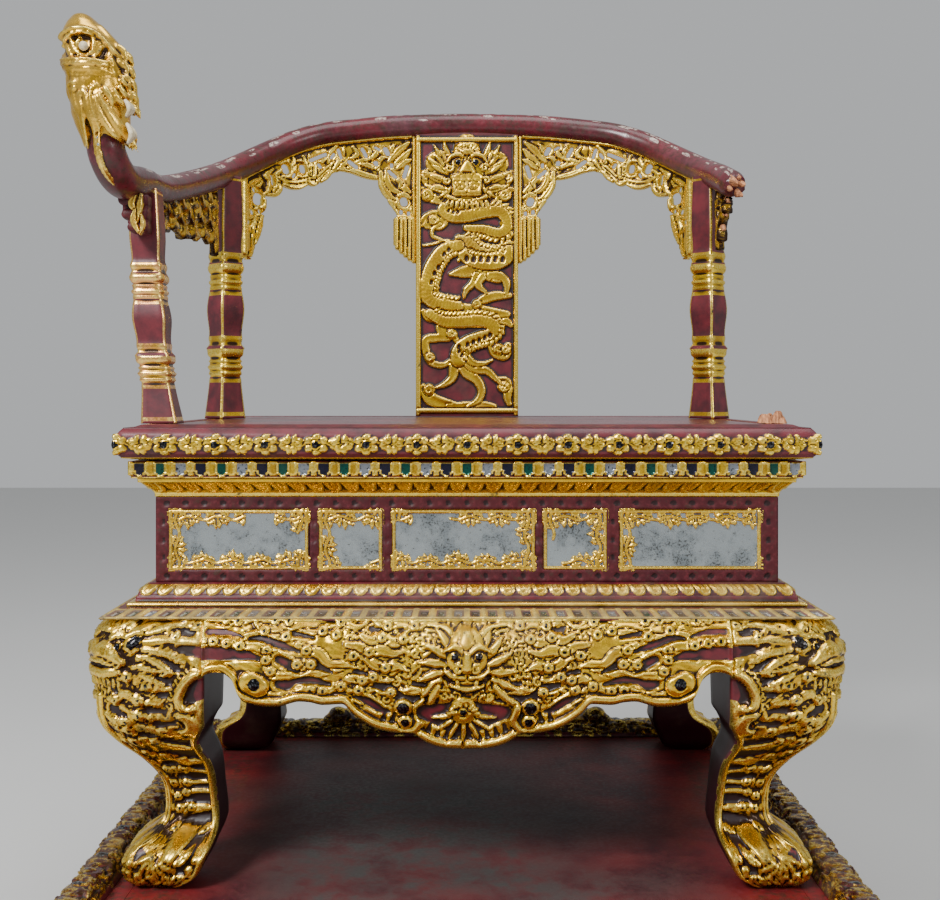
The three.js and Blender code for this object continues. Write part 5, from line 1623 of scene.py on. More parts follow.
SPLAT_CURLS = [
    (-64, 1119, 10.5), (-63, 1090, 10), (63, 1117, 10.5), (60, 1090, 10), (-52, 1050, 9), (-48, 921, 9),
    (-25, 915, 7), (16, 917, 8), (43, 894, 8), (-24, 870, 8), (50, 846, 9), (61, 845, 7), (-59, 833, 8),
    (-60, 782, 9), (58, 787, 9), (63, 1035, 8), (-4, 1018, 7),
]
SPLAT_GOUGES = [
    (-29, 1003, 2.6), (-36, 996, 2.6), (-45, 975, 2.8), (-51, 966, 2.8), (-56, 952, 2.6), (1, 853, 2.8),
    (10, 857, 2.8), (19, 860, 2.8), (28, 864, 2.8), (36, 868, 2.8), (-29, 1065, 2), (-22, 1063, 2),
    (-15, 1063, 2),
    (-12, 843, 2.5), (-8, 837, 2.5), (-13, 850, 2.5),
] + [(-1 + 11.4 * k, 989 - 0.6 * (k % 2), 3.6) for k in range(6)]


def splat_face(r):
    """The dragon's face at the head of the splat, looking out: horns of flame, eyes and a square muzzle."""
    for points, width in (([(-46, 1140), (-30, 1132), (0, 1140), (30, 1132), (46, 1140)], 38),
                          ([(-44, 1112), (0, 1108), (44, 1112)], 36),
                          ([(-34, 1090), (0, 1088), (34, 1090)], 22),
                          ([(0, 1150), (0, 1166)], 40)):
        r.band(points, width, 2.2, 0.6, groove=0.6, flat=0.2)
    for side in (-1, 1):
        for (x, z), angle, length, width in (((27, 1134), 0.72, 44, 11), ((25, 1143), 1.0, 36, 10),
                                             ((29, 1124), 0.42, 44, 11), ((28, 1112), 0.12, 46, 12),
                                             ((27, 1098), -0.05, 42, 12)):
            r.leaf(side * x, z, angle if side > 0 else math.pi - angle, length, width, 4.0, 2.5,
                   0.35 * side)
            r.leaf(side * (x + 10), z + 2, angle + 0.5 if side > 0 else math.pi - angle - 0.5,
                   length * 0.5, width * 0.7,
                   4.0, 2.8, -0.5 * side)
    r.band([(0, 1158), (0, 1130), (0, 1104)], (40, 54, 56), 4.5, 3.0, flat=0.5)
    r.band([(0, 1172), (0, 1158)], (22, 34), 7.5, 3.5, flat=0.7)
    for k in range(9):
        angle = math.pi * (0.05 + 0.9 * k / 8)
        r.band([(15 * math.cos(angle), 1156 + 8 * math.sin(angle)),
                (22 * math.cos(angle), 1156 + 15 * math.sin(angle))],
               (3.2, 2.4), 3.0, 7.0)
    for side in (-1, 1):
        r.band([(side * 3, 1147), (side * 13, 1153), (side * 25, 1150), (side * 32, 1141)],
               (5, 8, 7, 3), 4.5, 7.0)
        r.stud(side * 14, 1141, 4.6, 3.5, 8.0)
        r.spiral(side * 28, 1132, 6.5, 1.2, 0.5, side, 4.2, 4.0, 6.5)
        r.spiral(side * 31, 1112, 6.0, 1.2, 2.5, -side, 4.0, 4.0, 6.5)
        r.leaf(side * 27, 1100, -math.pi / 2 + side * 0.4, 18, 7, 4.5, 5.5, 0.3 * side)
        r.leaf(side * 33, 1094, -math.pi / 2 + side * 0.8, 14, 6, 4.0, 4.5, 0.3 * side)
    for dx, dz in ((0, 0), (-5, 0), (5, 0), (-2.5, 4), (2.5, 4), (-2.5, -4), (2.5, -4)):
        r.cut([(dx, 1147 + dz), (dx + 0.1, 1147 + dz)], 2.6, 1.0, 5.0)
    r.band([(0, 1138), (0, 1124)], (12, 20, 26), 5.0, 8.0, flat=0.6)
    for dx in (-6, -2, 2, 6):
        r.cut([(dx, 1124), (dx + 0.1, 1124)], 2.2, 1.0, 8.0)
    r.band([(-23, 1117), (0, 1119), (23, 1117)], (5, 6, 5), 4.5, 8.0)
    for x in (-15, -5, 5, 15):
        r.band([(x, 1115), (x, 1095)], 16, 4.0, 6.0, groove=0, flat=0.15)
    for a, b in (((-22, 1113), (22, 1113)), ((-22, 1113), (-20, 1094)), ((22, 1113), (20, 1094)),
                 ((-20, 1094), (20, 1094)), ((0, 1112), (0, 1095))):
        r.band([a, b], 3.0, 2.5, 9.0, groove=0.5)
    for side in (-1, 1):
        r.spiral(side * 10.5, 1104, 6.5, 1.9, math.pi / 2, side, 2.4, 2.4, 9.0)
    r.band([(-30, 1087), (-16, 1080), (0, 1078), (16, 1080), (30, 1087)], (7, 9, 9, 9, 7), 5.0, 5.0)
    for k in range(9):
        r.leaf((k - 4) * 7.5, 1078 + 0.5 * abs(k - 4), -math.pi / 2 + (k - 4) * 0.1, 12, 7.5, 4.0,
               4.5, 0.0)


def splat_relief(step):
    """The dragon of the splat among clouds, inside a gilt frame."""
    r = Relief(-82, 82, SPLAT_LOW, SPLAT_HIGH, step)
    for points, width in SPLAT_CLOUDS:
        width = width * 1.4
        r.band(points, (width * 0.6, width, width * 0.9, width * 0.5), 3.4, 1.0, groove=0.9,
               flat=0.25, hollow=1.0)
    for x, z, radius in SPLAT_CURLS:
        r.band([(x, z), (x + 0.1, z)], radius * 2.1, 3.4, 1.6, groove=0.8, flat=0.3)
        r.spiral(x, z, radius * 0.8, 1.5, x * 0.2, 1 if x < 0 else -1, radius * 0.4, 2.6, 4.6)
    for points, width in SPLAT_RIBBONS:
        r.band(points, 1.4 * np.asarray(width), 3.8, 1.5, groove=0.9, flat=0.3, hollow=1.1)
    for points, width in SPLAT_BODY:
        r.band(points, 1.3 * np.asarray(width), 4.4, 2.5, groove=1.2, flat=0.3, scales=0.6)
        spine = smooth_path(points, 8.0)
        for (x0, z0), (x1, z1) in zip(spine[1:-1], spine[2:]):
            angle = math.atan2(z1 - z0, x1 - x0)
            reach = 0.42 * max(width)
            r.leaf(x0 - math.sin(angle) * reach, z0 + math.cos(angle) * reach, angle + 0.6, 9, 6.5,
                   3.0, 3.0, 0.3)
    for x, z, radius in SPLAT_GOUGES:
        r.cut([(x - 0.5, z - radius * 0.5), (x + 0.5, z + radius * 0.5)], radius * 1.7, 0.5, 2.5)
    splat_face(r)
    edge = 3.8
    for a, b in (((-81 + edge, 746), (-81 + edge, 1180)), ((81 - edge, 746), (81 - edge, 1180)),
                 ((-81 + edge, 1177), (81 - edge, 1177)), ((-81 + edge, 749), (81 - edge, 749))):
        r.band([a, b], 7.6, 5.5, 1.5, groove=0.8, flat=0.3)
    return r


splat_carving = splat_relief(1.35)
cols = int(2 * SPLAT_HALF / 1.4)
rows = int((SPLAT_HIGH - SPLAT_LOW) / 1.5)
x, z = np.meshgrid(np.linspace(-SPLAT_HALF, SPLAT_HALF, cols), np.linspace(SPLAT_LOW, SPLAT_HIGH, rows))
marks = splat_carving.read(x, z)
front = np.stack([x, SPLAT_FACE - 0.82 * marks["height"] * smoothstep(0, 1.2,
                                                                      SPLAT_HALF - np.abs(x)), z],
                                                                      axis=-1)
back = front.copy()
back[..., 1] = SPLAT_FACE + 22
verts, faces, rim_points = plate_mesh(front, back)
extra = {key: over_rim(marks[key], rim_points) for key in ("gold", "bead")}
make_mesh("splat_carving", verts, faces, CARVED, extra, replaces=["splat"])

# ---------- pierced spandrels under the rail ----------
back_curve = smooth_path(rail_half[:9], 1.0)
SPANDREL_X0, SPANDREL_X1 = SPLAT_HALF + 0.3, 338.0
SPANDREL_EDGE = np.array([
    [81, 1055], [112, 1055], [113, 1066], [117, 1077], [124, 1084], [135, 1102], [142, 1111],
    [162, 1115], [173, 1122],
    [195, 1125], [216, 1119], [229, 1105], [253, 1101], [263, 1097], [285, 1096], [290, 1086],
    [298, 1080], [309, 1076],
    [312, 1068], [315, 1040], [320, 1017], [326, 998], [331, 978], [338, 974],
])
# Leaves of a back spandrel, by distance from the middle and height, with their widths; then its openings.
SPANDREL_LEAVES = [
    ([(334, 1087), (331, 1050), (333, 1016), (330, 979)], 9),
    ([(316, 1099), (324, 1086), (328, 1075)], 8),
    ([(321, 1060), (323, 1035), (326, 1011), (329, 983)], 9),
    ([(315, 1047), (319, 1026), (324, 1002)], 8),
    ([(332, 1089), (325, 1096), (318, 1103)], 8), ([(312, 1072), (314, 1059), (320, 1046)], 8),
    ([(309, 1081), (304, 1099), (309, 1110), (301, 1121)], 9),
    ([(301, 1086), (295, 1101), (296, 1113), (287, 1123)], 8),
    ([(307, 1080), (296, 1083), (290, 1093), (293, 1099)], 8),
    ([(293, 1131), (281, 1137), (271, 1129), (275, 1114), (288, 1111)], 9),
    ([(266, 1138), (254, 1139), (248, 1127), (254, 1114), (266, 1115)], 8),
    ([(292, 1109), (276, 1102), (256, 1106), (239, 1116)], 10),
    ([(286, 1099), (266, 1097), (248, 1104)], 8),
    ([(275, 1128), (271, 1137), (273, 1144)], 8), ([(241, 1111), (251, 1130), (257, 1147)], 8),
    ([(241, 1111), (245, 1134), (248, 1150)], 8), ([(239, 1111), (233, 1134), (219, 1149)], 8),
    ([(238, 1111), (223, 1127), (211, 1140)], 9), ([(240, 1111), (239, 1131), (237, 1145)], 7),
    ([(249, 1108), (241, 1105), (231, 1112)], 9),
    ([(236, 1109), (222, 1120), (210, 1130), (198, 1136), (184, 1143)], 10),
    ([(211, 1129), (199, 1148), (195, 1165)], 8), ([(219, 1138), (216, 1154), (205, 1167)], 8),
    ([(229, 1109), (219, 1119), (214, 1126)], 8),
    ([(202, 1130), (181, 1128), (163, 1122), (142, 1118), (131, 1122)], 10),
    ([(188, 1132), (170, 1140), (152, 1135), (137, 1129)], 9),
    ([(185, 1146), (174, 1154), (181, 1166)], 8),
    ([(173, 1143), (159, 1147), (145, 1155), (142, 1170)], 9),
    ([(145, 1132), (137, 1148), (127, 1150)], 8),
    ([(159, 1166), (154, 1159), (159, 1150)], 7), ([(124, 1144), (110, 1160), (93, 1174)], 13),
    ([(116, 1138), (101, 1151), (90, 1163)], 12), ([(124, 1156), (116, 1171)], 9),
    ([(111, 1133), (99, 1142), (90, 1147)], 10),
    ([(137, 1126), (134, 1105), (123, 1088), (109, 1081)], 13),
    ([(127, 1132), (127, 1113), (117, 1099), (102, 1093)], 11),
    ([(109, 1118), (102, 1105), (90, 1095)], 12), ([(124, 1082), (116, 1075), (111, 1064)], 10),
    ([(117, 1122), (106, 1111), (108, 1102)], 9), ([(111, 1086), (108, 1072), (97, 1068), (90, 1077)], 8),
    ([(109, 1090), (99, 1091), (89, 1086)], 9), ([(112, 1066), (104, 1057)], 8),
    ([(88, 1072), (88, 1056)], 9),
    ([(111, 1057), (88, 1057)], 6),
]
SPANDREL_OPENINGS = [
    ([(245, 1141), (234, 1147), (223, 1152)], 5), ([(283, 1126), (281, 1121)], 9),
    ([(258, 1129), (257, 1124)], 8),
    ([(233, 1135), (231, 1132)], 5), ([(203, 1160), (199, 1148)], 4.5), ([(186, 1142), (175, 1134)], 6),
    ([(166, 1163), (160, 1152)], 5), ([(145, 1142), (144, 1140)], 6.5), ([(130, 1164), (126, 1157)], 7),
    ([(120, 1139), (120, 1137)], 5), ([(124, 1129), (114, 1120)], 5), ([(95, 1136), (100, 1121)], 6),
    ([(101, 1082), (100, 1079)], 11), ([(105, 1065), (105, 1063)], 5), ([(93, 1063), (93, 1061)], 5),
    ([(319, 1075), (319, 1068)], 11), ([(326, 1051), (326, 1049)], 6), ([(317, 1054), (317, 1052)], 5),
    ([(330, 1035), (331, 1032)], 5), ([(301, 1109), (300, 1098)], 4.5), ([(324, 1086), (324, 1083)], 5),
    ([(214, 1147), (210, 1153)], 4), ([(271, 1113), (269, 1117)], 4), ([(145, 1166), (140, 1163)], 4),
]


def under_rail(x):
    """Height of the rail's underside over a point x from the middle, at the back."""
    return np.interp(x, back_curve[:, 0], back_curve[:, 2]) - RAIL_R + 5


def spandrel_low(x):
    """The ragged lower edge of a back spandrel."""
    return np.interp(x, SPANDREL_EDGE[:, 0], SPANDREL_EDGE[:, 1]) + 3


def veined(r, points, width, lift=2.5):
    """A leaf of the spandrels: broad, hollowed beside its middle line, with tapering ends."""
    r.band(points, (width * 0.55, width, width * 0.95, width * 0.4), 4.2, lift, groove=0.8, flat=0.4,
           vein=0.9)


def back_spandrel_relief():
    r = Relief(SPANDREL_X0, SPANDREL_X1 + 2, 966, 1196, 1.5)
    r.fill(spandrel_low, under_rail, 3.2, 0.4, 5)
    for points, width in SPANDREL_LEAVES:
        veined(r, points, width)
    for points, width in SPANDREL_OPENINGS:
        r.pierce(points, width)
    border_x = np.linspace(SPANDREL_X0, SPANDREL_X1, 30)
    r.band(np.column_stack([border_x, under_rail(border_x) - 3.0]), 5.5, 4.0, 4.5, groove=0.6)
    r.band([(SPANDREL_X0 + 3, 1054), (SPANDREL_X0 + 3, 1182)], 6.0, 4.0, 4.5, groove=0.6)
    r.band([(336, 1100), (336, 985)], 4.0, 4.0, 3.5, groove=0.6)
    return r


back_spandrel = back_spandrel_relief()
for side_name, sign in (("left", -1), ("right", 1)):
    def along_back(x, z, height, sign=sign):
        y = np.interp(x, back_curve[:, 0], back_curve[:, 1])
        slope = np.gradient(back_curve[:, 1], back_curve[:, 0])
        tilt = np.interp(x, back_curve[:, 0], slope)
        length = np.hypot(1, tilt)
        depth = -height * 1.1
        return np.stack([sign * (x - depth * tilt / length), y + depth / length, z], axis=-1)

    pierced_mesh(f"back_spandrel_{side_name}_scrolls", back_spandrel, along_back, CARVED,
                 replaces=[f"back_spandrel_{side_name}"], keep=lambda x, z: z < under_rail(x),
                 mirrored=sign < 0, both=True)

# pendants beside the splat: solid fluted wedges, longer on the splat's side
PENDANT_TOP = 1054.0
PENDANT_LOW = np.array([[81, 980], [90, 984], [104, 996], [113, 1005], [116, 1010]])
for side_name, sign in (("left", -1), ("right", 1)):
    tassel = Relief(80.8, 116, 976, PENDANT_TOP, 1.2)
    tassel.fill(lambda x: np.interp(x, PENDANT_LOW[:, 0], PENDANT_LOW[:, 1]) + 2,
                lambda x: 0 * x + PENDANT_TOP, 5.0)
    for k in range(5):
        x = 85.0 + 6.6 * k
        foot = float(np.interp(x, PENDANT_LOW[:, 0], PENDANT_LOW[:, 1])) + 4
        tassel.band([(x, PENDANT_TOP + 4), (x, foot + 10), (x, foot)], (7.6, 7.6, 6.5), 4.5,
                    4.5 + 0.8 * (k % 2),
                    groove=0.7, flat=0.6)
    pierced_mesh(f"pendant_{side_name}_flutes", tassel,
                 lambda x, z, h, sign=sign: np.stack([sign * x, 226 - h * 1.1, z], axis=-1), CARVED,
                 replaces=[f"pendant_{side_name}"], mirrored=sign < 0, both=True)


# side spandrels under the arms
SIDE_EDGE = np.array([[0, 972], [12, 976], [20, 992], [40, 984], [62, 994], [90, 982], [125, 990],
                      [150, 980],
                      [188, 988], [222, 982], [234, 976], [249, 972]])
BROKEN_EDGE = np.array([[0, 984], [12, 980], [15, 1004], [24, 1006], [26, 1022], [36, 1024],
                        [38, 1042], [46, 1046]])


def side_relief(length, edge):
    """Scrolls under an arm: (distance forward of the rear post, height)."""
    r = Relief(0, length, 965, 1100, 1.8)

    def top(s):
        return 1074.4 - 0.2 * s

    def low(s):
        return np.interp(s, edge[:, 0], edge[:, 1])
    r.fill(low, top, 3.0, 0.4, 8)
    rng = np.random.default_rng(33)
    pitch = 41.0 if length > 100 else 23.0
    openings = []
    for k in range(int(length / pitch)):
        s = 0.6 * pitch + pitch * k
        wide = pitch / 41.0
        room = top(s) - low(s)
        level = low(s) + 0.5 * room
        lean = 8 * (rng.random() - 0.5)
        turn = 1 if k % 2 else -1
        veined(r, [(s - 18 * wide, low(s) + 4), (s + 2, level - 0.34 * room), (s + 18 * wide, level - 4),
                   (s + 12 * wide, level + 0.34 * room)], 13, 3)
        veined(r, [(s - 12 * wide, level + 0.4 * room), (s - 17 * wide, level + 4),
                   (s - 2 + lean, level - 0.24 * room)],
               12, 3)
        veined(r, [(s - 6 * wide, level + 0.12 * room), (s + 8 * wide, level + 0.2 * room),
                   (s + 20 * wide, level + 0.42 * room)], 11, 3)
        r.leaf(s + 4 * wide, low(s) + 12, -1.9 + 0.1 * lean, 16, 10, 5.0, 3.0, 0.5)
        r.spiral(s + 2, level - 2, 15 * wide, 1.0, 2.2, turn, 8.0, 5.0, 3.4)
        openings += [([(s - 5 * wide, level - 2), (s + 8 * wide, level + 1)], 8.5),
                     ([(s - 8 * wide, level + 0.33 * room), (s + 3 * wide, level + 0.36 * room)], 7.5),
                     ([(s + 14 * wide, level - 0.3 * room), (s + 24 * wide, level - 0.22 * room)], 7.5),
                     ([(s + 17 * wide, level + 0.14 * room), (s + 22 * wide, level + 0.2 * room)], 6.5)]
    for points, width in openings:
        r.pierce(points, width)
    for end in (6, length - 6):
        drop = low(end)
        if top(end) - drop > 60:
            veined(r, [(end, 1045), (end + 2, 1018), (end - 2, 1000), (end, drop)], 10)
    line = np.linspace(0, length, 20)
    r.band(np.column_stack([line, top(line) - 2]), 5.5, 4.5, 4.5, groove=0.6)
    return r


for name, length, sign, node, edge in (
        ("side_spandrel_left_scrolls", 249, -1, "side_spandrel_left", SIDE_EDGE),
        ("side_spandrel_right_scrolls", 46, 1, "side_spandrel_right_broken", BROKEN_EDGE)):
    relief = side_relief(length, edge)

    def along_arm(s, z, height, sign=sign):
        y = 26 - s
        x = 357 + 31 * (60 - y) / 300
        return np.stack([sign * (x - height), y, z], axis=-1)

    pierced_mesh(name, relief, along_arm, CARVED_PAINTED_LIGHT, replaces=[node], mirrored=sign > 0, both=True)

# place along the arm, height, length, width and thickness of each splinter
SPLINTERS = [(22, 1012, 9, 6, 5), (34, 1030, 10, 6, 5), (43, 1048, 9, 7, 6)]
for number, (s, z, length, wide, thick) in enumerate(SPLINTERS):
    shard(f"spandrel_splinter_{number}", (357 + 3.5 + 0.1 * s, 26 - s + 3, z), (0.0, -0.86, -0.5),
          length, wide, thick,
          51 + number, RAW_WOOD, replaces=["side_spandrel_right_broken"])

# stepped bracket in front of the front left post, with a gilt leaf
BRACKET_EDGE = np.array([[-411, 1004], [-409, 999], [-405, 996], [-404, 982], [-399, 978],
                         [-397, 969], [-390, 963],
                         [-378, 962]])
steps = Relief(-411, -377, 958, 1012, 1.2)
steps.fill(lambda x: np.interp(x, BRACKET_EDGE[:, 0], BRACKET_EDGE[:, 1]) + 2,
           lambda x: 0 * x + 1010, 11.0)
for z, x in ((1003, -404), (986, -400), (971, -393)):
    steps.band([(x, z), (-378, z)], 12, 3.5, 10.5, groove=0.8, flat=0.7)
pierced_mesh("front_bracket_left_steps", steps,
             lambda x, z, h: np.stack([x, -291 - h * 1.1, z], axis=-1), RED,
             replaces=["front_bracket_left"], both=True)
bracket_leaf = Relief(-399, -376, 958, 1012, 0.8)
for points, width in (([(-387, 1009), (-392, 998), (-387, 988)], 9),
                      ([(-381, 1008), (-383, 990), (-386, 976)], 8),
                      ([(-388, 990), (-390, 978), (-384, 964)], 8),
                      ([(-380, 984), (-379, 972), (-382, 962)], 6)):
    veined(bracket_leaf, points, width, 3)
pierced_mesh("front_bracket_left_leaf", bracket_leaf,
             lambda x, z, h: np.stack([x, -305 - h * 0.9, z], axis=-1), CARVED_HEAD,
             replaces=["front_bracket_left"], both=True)


# ---------- dragon's head on the rail's end ----------
HEAD = np.array([-416.0, -352.0, 1128.0])


class Lump:
    """Points and faces gathered for one carved lump, to be fused into one skin."""

    def __init__(self):
        self.verts, self.faces = [], []

    def add(self, verts, faces):
        first = sum(len(v) for v in self.verts)
        self.verts.append(np.asarray(verts, float))
        self.faces += [[first + i for i in f] for f in faces]

    def ball(self, centre, radii):
        rows, cols = 17, 24
        up = np.linspace(-math.pi / 2, math.pi / 2, rows)[1:-1, None]
        around = np.linspace(0, 2 * math.pi, cols, endpoint=False)[None, :]
        grid = np.stack([np.cos(up) * np.cos(around), np.cos(up) * np.sin(around),
                         np.sin(up) + 0 * around], axis=-1)
        verts = np.vstack([grid.reshape(-1, 3), [[0, 0, -1], [0, 0, 1]]]) * radii
        n = rows - 2
        faces = grid_faces(n, cols, wrap=True).tolist()
        faces += [[n * cols, (i + 1) % cols, i] for i in range(cols)]
        top = (n - 1) * cols
        faces += [[n * cols + 1, top + i, top + (i + 1) % cols] for i in range(cols)]
        self.add(verts + np.asarray(centre, float), faces)

    def rope(self, points, widths, flat=1.0, up=(0, -1, 0.2)):
        """A tapering strand along points; flat under 1 makes it a ribbon, thin towards `up`."""
        path = smooth_path(points, 1.6)
        share = np.linspace(0, 1, len(widths))

        def radius(t, angle):
            r = np.interp(t, share, widths) / 2
            return r * flat / np.hypot(flat * np.sin(angle), np.cos(angle)) + 0 * angle
        verts, faces = closed_tube(tube_rings(path, radius, 14, up))
        self.add(verts, faces)


def head_point(x, y, z):
    return HEAD + (x, y, z)


# Half outline of the head: height, left and right edge, then its reach to the front and the back.
HEAD_OUTLINE = np.array([
    [-76, -18, 26, 16], [-64, -22, 33, 21], [-50, -28, 35, 25], [-36, -33, 35, 29],
    [-22, -34, 34, 32], [-8, -36, 33, 34],
    [4, -38, 32, 35], [16, -41, 31, 36], [28, -43, 29, 36], [38, -43.5, 25, 35], [48, -43, 18, 34],
    [58, -41, 9, 31],
    [66, -37, 1, 26], [73, -31, -7, 19], [77, -26, -13, 11], [79, -22, -17, 5],
])
# Strokes on the head, from its middle: points, width, height and lift.
HEAD_RIDGES = [
    ([(-44, 45), (-39, 54), (-30, 60), (-20, 61), (-8, 56), (2, 47), (11, 37), (20, 28)], 4.6, 4.5, 7),
    ([(-40, 40), (-36, 49), (-28, 55), (-19, 56), (-9, 52), (-1, 43)], 3.4, 3.5, 6),
    ([(-7, 73), (7, 62), (20, 48), (29, 35)], 5, 3.5, 6.5),
    ([(-3, 65), (8, 54), (19, 42), (27, 30)], 5, 3.5, 6),
    ([(-31, 46), (-27, 37), (-19, 30)], 7, 3.5, 2.5), ([(-3, 45), (-7, 37), (-14, 30)], 7, 3.5, 2.5),
    ([(-23, 49), (-25, 44), (-23, 38)], 5, 3.5, 2.5), ([(-8, 49), (-7, 44), (-9, 38)], 5, 3.5, 2.5),
    ([(-17, 26), (-17, 32)], 8, 3.5, 2.5), ([(2, 40), (-2, 34), (-7, 28)], 6, 3, 2.5),
    ([(-36, 41), (-34, 34), (-29, 28)], 6, 3, 2.5), ([(-42, 25), (-28, 26), (-9, 25), (8, 22)], 4, 4, 7),
    ([(-40, 20), (-28, 21), (-9, 20), (8, 18)], 4, 4, 7.5),
    ([(-38, 15), (-25, 15), (-9, 15), (9, 12)], 5.5, 3.5, 6),
    ([(11, 25), (17, 12), (24, 1)], 6, 4, 6), ([(12, 15), (16, 4), (20, -5)], 5, 4, 6),
    ([(20, 25), (26, 15), (29, 5)], 6, 4, 6),
]
# Locks of the beard and mane: points and width.
HEAD_LOCKS = [
    ([(-34, 7), (-33, -12), (-29, -27)], 7), ([(-30, -5), (-28, -20), (-24, -33), (-21, -44)], 8),
    ([(-23, -12), (-20, -30), (-17, -54), (-14, -75)], 9),
    ([(-16, -11), (-13, -28), (-8, -46), (-6, -62)], 8),
    ([(-11, -12), (-8, -30), (-3, -46), (1, -58)], 8), ([(-5, -15), (0, -33), (11, -52), (22, -65)], 9),
    ([(0, -12), (8, -30), (20, -52), (32, -67)], 9), ([(7, -23), (16, -41), (28, -57), (36, -78)], 8),
    ([(12, -28), (22, -46), (34, -62), (42, -78)], 8), ([(5, -4), (13, -17), (16, -28)], 8),
    ([(16, -7), (22, -20), (32, -28)], 8), ([(22, -3), (29, -15), (38, -23)], 8),
    ([(25, 4), (33, -9), (40, -17)], 7),
    ([(28, 7), (34, -2), (40, 1)], 6),
]


def head_sides(z):
    """Middle, half width and half depth of the head at a height."""
    left, right, deep = (np.interp(z, HEAD_OUTLINE[:, 0], HEAD_OUTLINE[:, i]) for i in (1, 2, 3))
    return (left + right) / 2, (right - left) / 2, deep


def head_relief():
    """The head as seen from either side: a smooth snout, a sunk eye, folded lips, beads and a fluted mane."""
    r = Relief(-60, 60, -80, 82, 1.0)
    r.sheet(6.0, 0.3, 20, 4)
    r.cut([(-32, 40), (-17, 42), (-3, 34)], 22, 1.0, 0.0)
    for points, width, height, lift in HEAD_RIDGES:
        ends = (width * 0.8, width, width * 0.4)
        if len(points) > 3:
            ends = (width * 0.7, width, width, width * 0.6)
        r.band(points, ends, height, lift, groove=1.4, flat=0.6)
    for k in range(10):
        x = -33 + 4.8 * k
        r.band([(x, 9.8 - 0.02 * k), (x + 0.1, 9.8)], 4.0, 3.0, 6.0, groove=0.6)
    for k in range(17):
        x = -35 + 3.1 * k
        r.band([(x, 6), (x + 1.0, -4), (x + 2.5, -15 - 2.5 * (k % 3))], (2.2, 2.9, 2.2), 2.6, 5.5,
               groove=0.6)
    for x, z, radius, hand in ((-27, -5, 5.5, 1), (-7, -7, 5.5, -1), (-2, -13, 4.5, 1),
                               (-19, -11, 4.0, -1)):
        r.spiral(x, z, radius, 1.1, 1.2, hand, 2.8, 3.0, 8.0)
    return r


def on_head(x, z, out, back):
    """A point out from the head's skin, over (x, z) as seen from the front, or from behind."""
    middle, half, deep = head_sides(z)
    across = np.clip((x - middle) / half, -1, 1)
    near = math.sqrt(max(0.0, 1 - across**2))
    return head_point(x + 9.0 * near, (1 if back else -1) * (deep * near + out), z - 8.0 * near)


def dragon_head():
    """The head, alike on both sides, with locks combed down the neck and flames behind the cheek."""
    lump = Lump()
    relief = head_relief()
    rows, cols = 128, 168
    z = np.linspace(-74, 78.6, rows)[:, None]
    angle = (np.arange(cols) / cols * 2 * math.pi)[None, :]
    middle, half, deep = head_sides(z)
    half, deep = half - 3.0, deep - 3.0
    x = middle + half * np.sin(angle)
    near = np.abs(np.cos(angle))
    height = relief.sample(relief.height, x - 9.0 * near, z + 8.0 * near)
    fade = smoothstep(78.6, 74.0, z)
    height = (height - 3.0) * (0.35 + 0.65 * np.abs(np.cos(angle)) ** 0.5) * fade
    rings = np.stack([x + height * np.sin(angle), -(deep + height) * np.cos(angle), z + 0 * x], axis=-1)
    verts, faces = closed_tube(rings)
    lump.add(HEAD + verts, faces_out(verts, faces))
    for back in (False, True):
        for points, width in HEAD_LOCKS:
            path = smooth_path(points, 6.0)
            count = len(path)
            lump.rope([on_head(px, pz, 2.5 + 3.0 * math.sin(2.4 * k / count), back)
                       for k, (px, pz) in enumerate(path)],
                      (width * 0.7, width, width * 1.05, width * 0.8, 1.8), 0.7, (0, -1, 0))
            lump.rope([on_head(px + 1.2, pz, 5.6 + 3.0 * math.sin(2.4 * k / count), back)
                       for k, (px, pz) in enumerate(path[:-1])], (1.5, 2.6, 2.6, 1.4), 1.0, (0, -1, 0))
    for k in range(5):
        z0 = 34 - 15 * k
        lump.rope([head_point(24 + 2 * k, 0, z0), head_point(31 + 2 * k, 4, z0 - 3),
                   head_point(36 + 1.5 * k, 8, z0 - 13)],
                  (10, 9, 2), 0.6)
        lump.rope([head_point(22 + 2 * k, -12, z0 + 4), head_point(30 + 2 * k, -12, z0 - 2),
                   head_point(34 + 2 * k, -12, z0 - 12)],
                  (9, 8, 2), 0.6)
        lump.rope([head_point(22 + 2 * k, 16, z0 + 4), head_point(30 + 2 * k, 16, z0 - 2),
                   head_point(34 + 2 * k, 16, z0 - 12)],
                  (9, 8, 2), 0.6)
    # the gilt strip down the front of the neck, with raised edges
    strip = [(3, -22, -52), (3, -21, -76), (7, -14, -98), (13, 6, -112), (20, 28, -119)]
    lump.rope([head_point(*p) for p in strip], (9, 9, 8, 8, 5), 0.45, (1, 0, 0.2))
    for side in (-3.6, 3.6):
        lump.rope([head_point(px + side, py - 1.2, pz) for px, py, pz in strip],
                  (2.4, 2.4, 2.4, 2.0), 1.0, (1, 0, 0.2))
    return lump


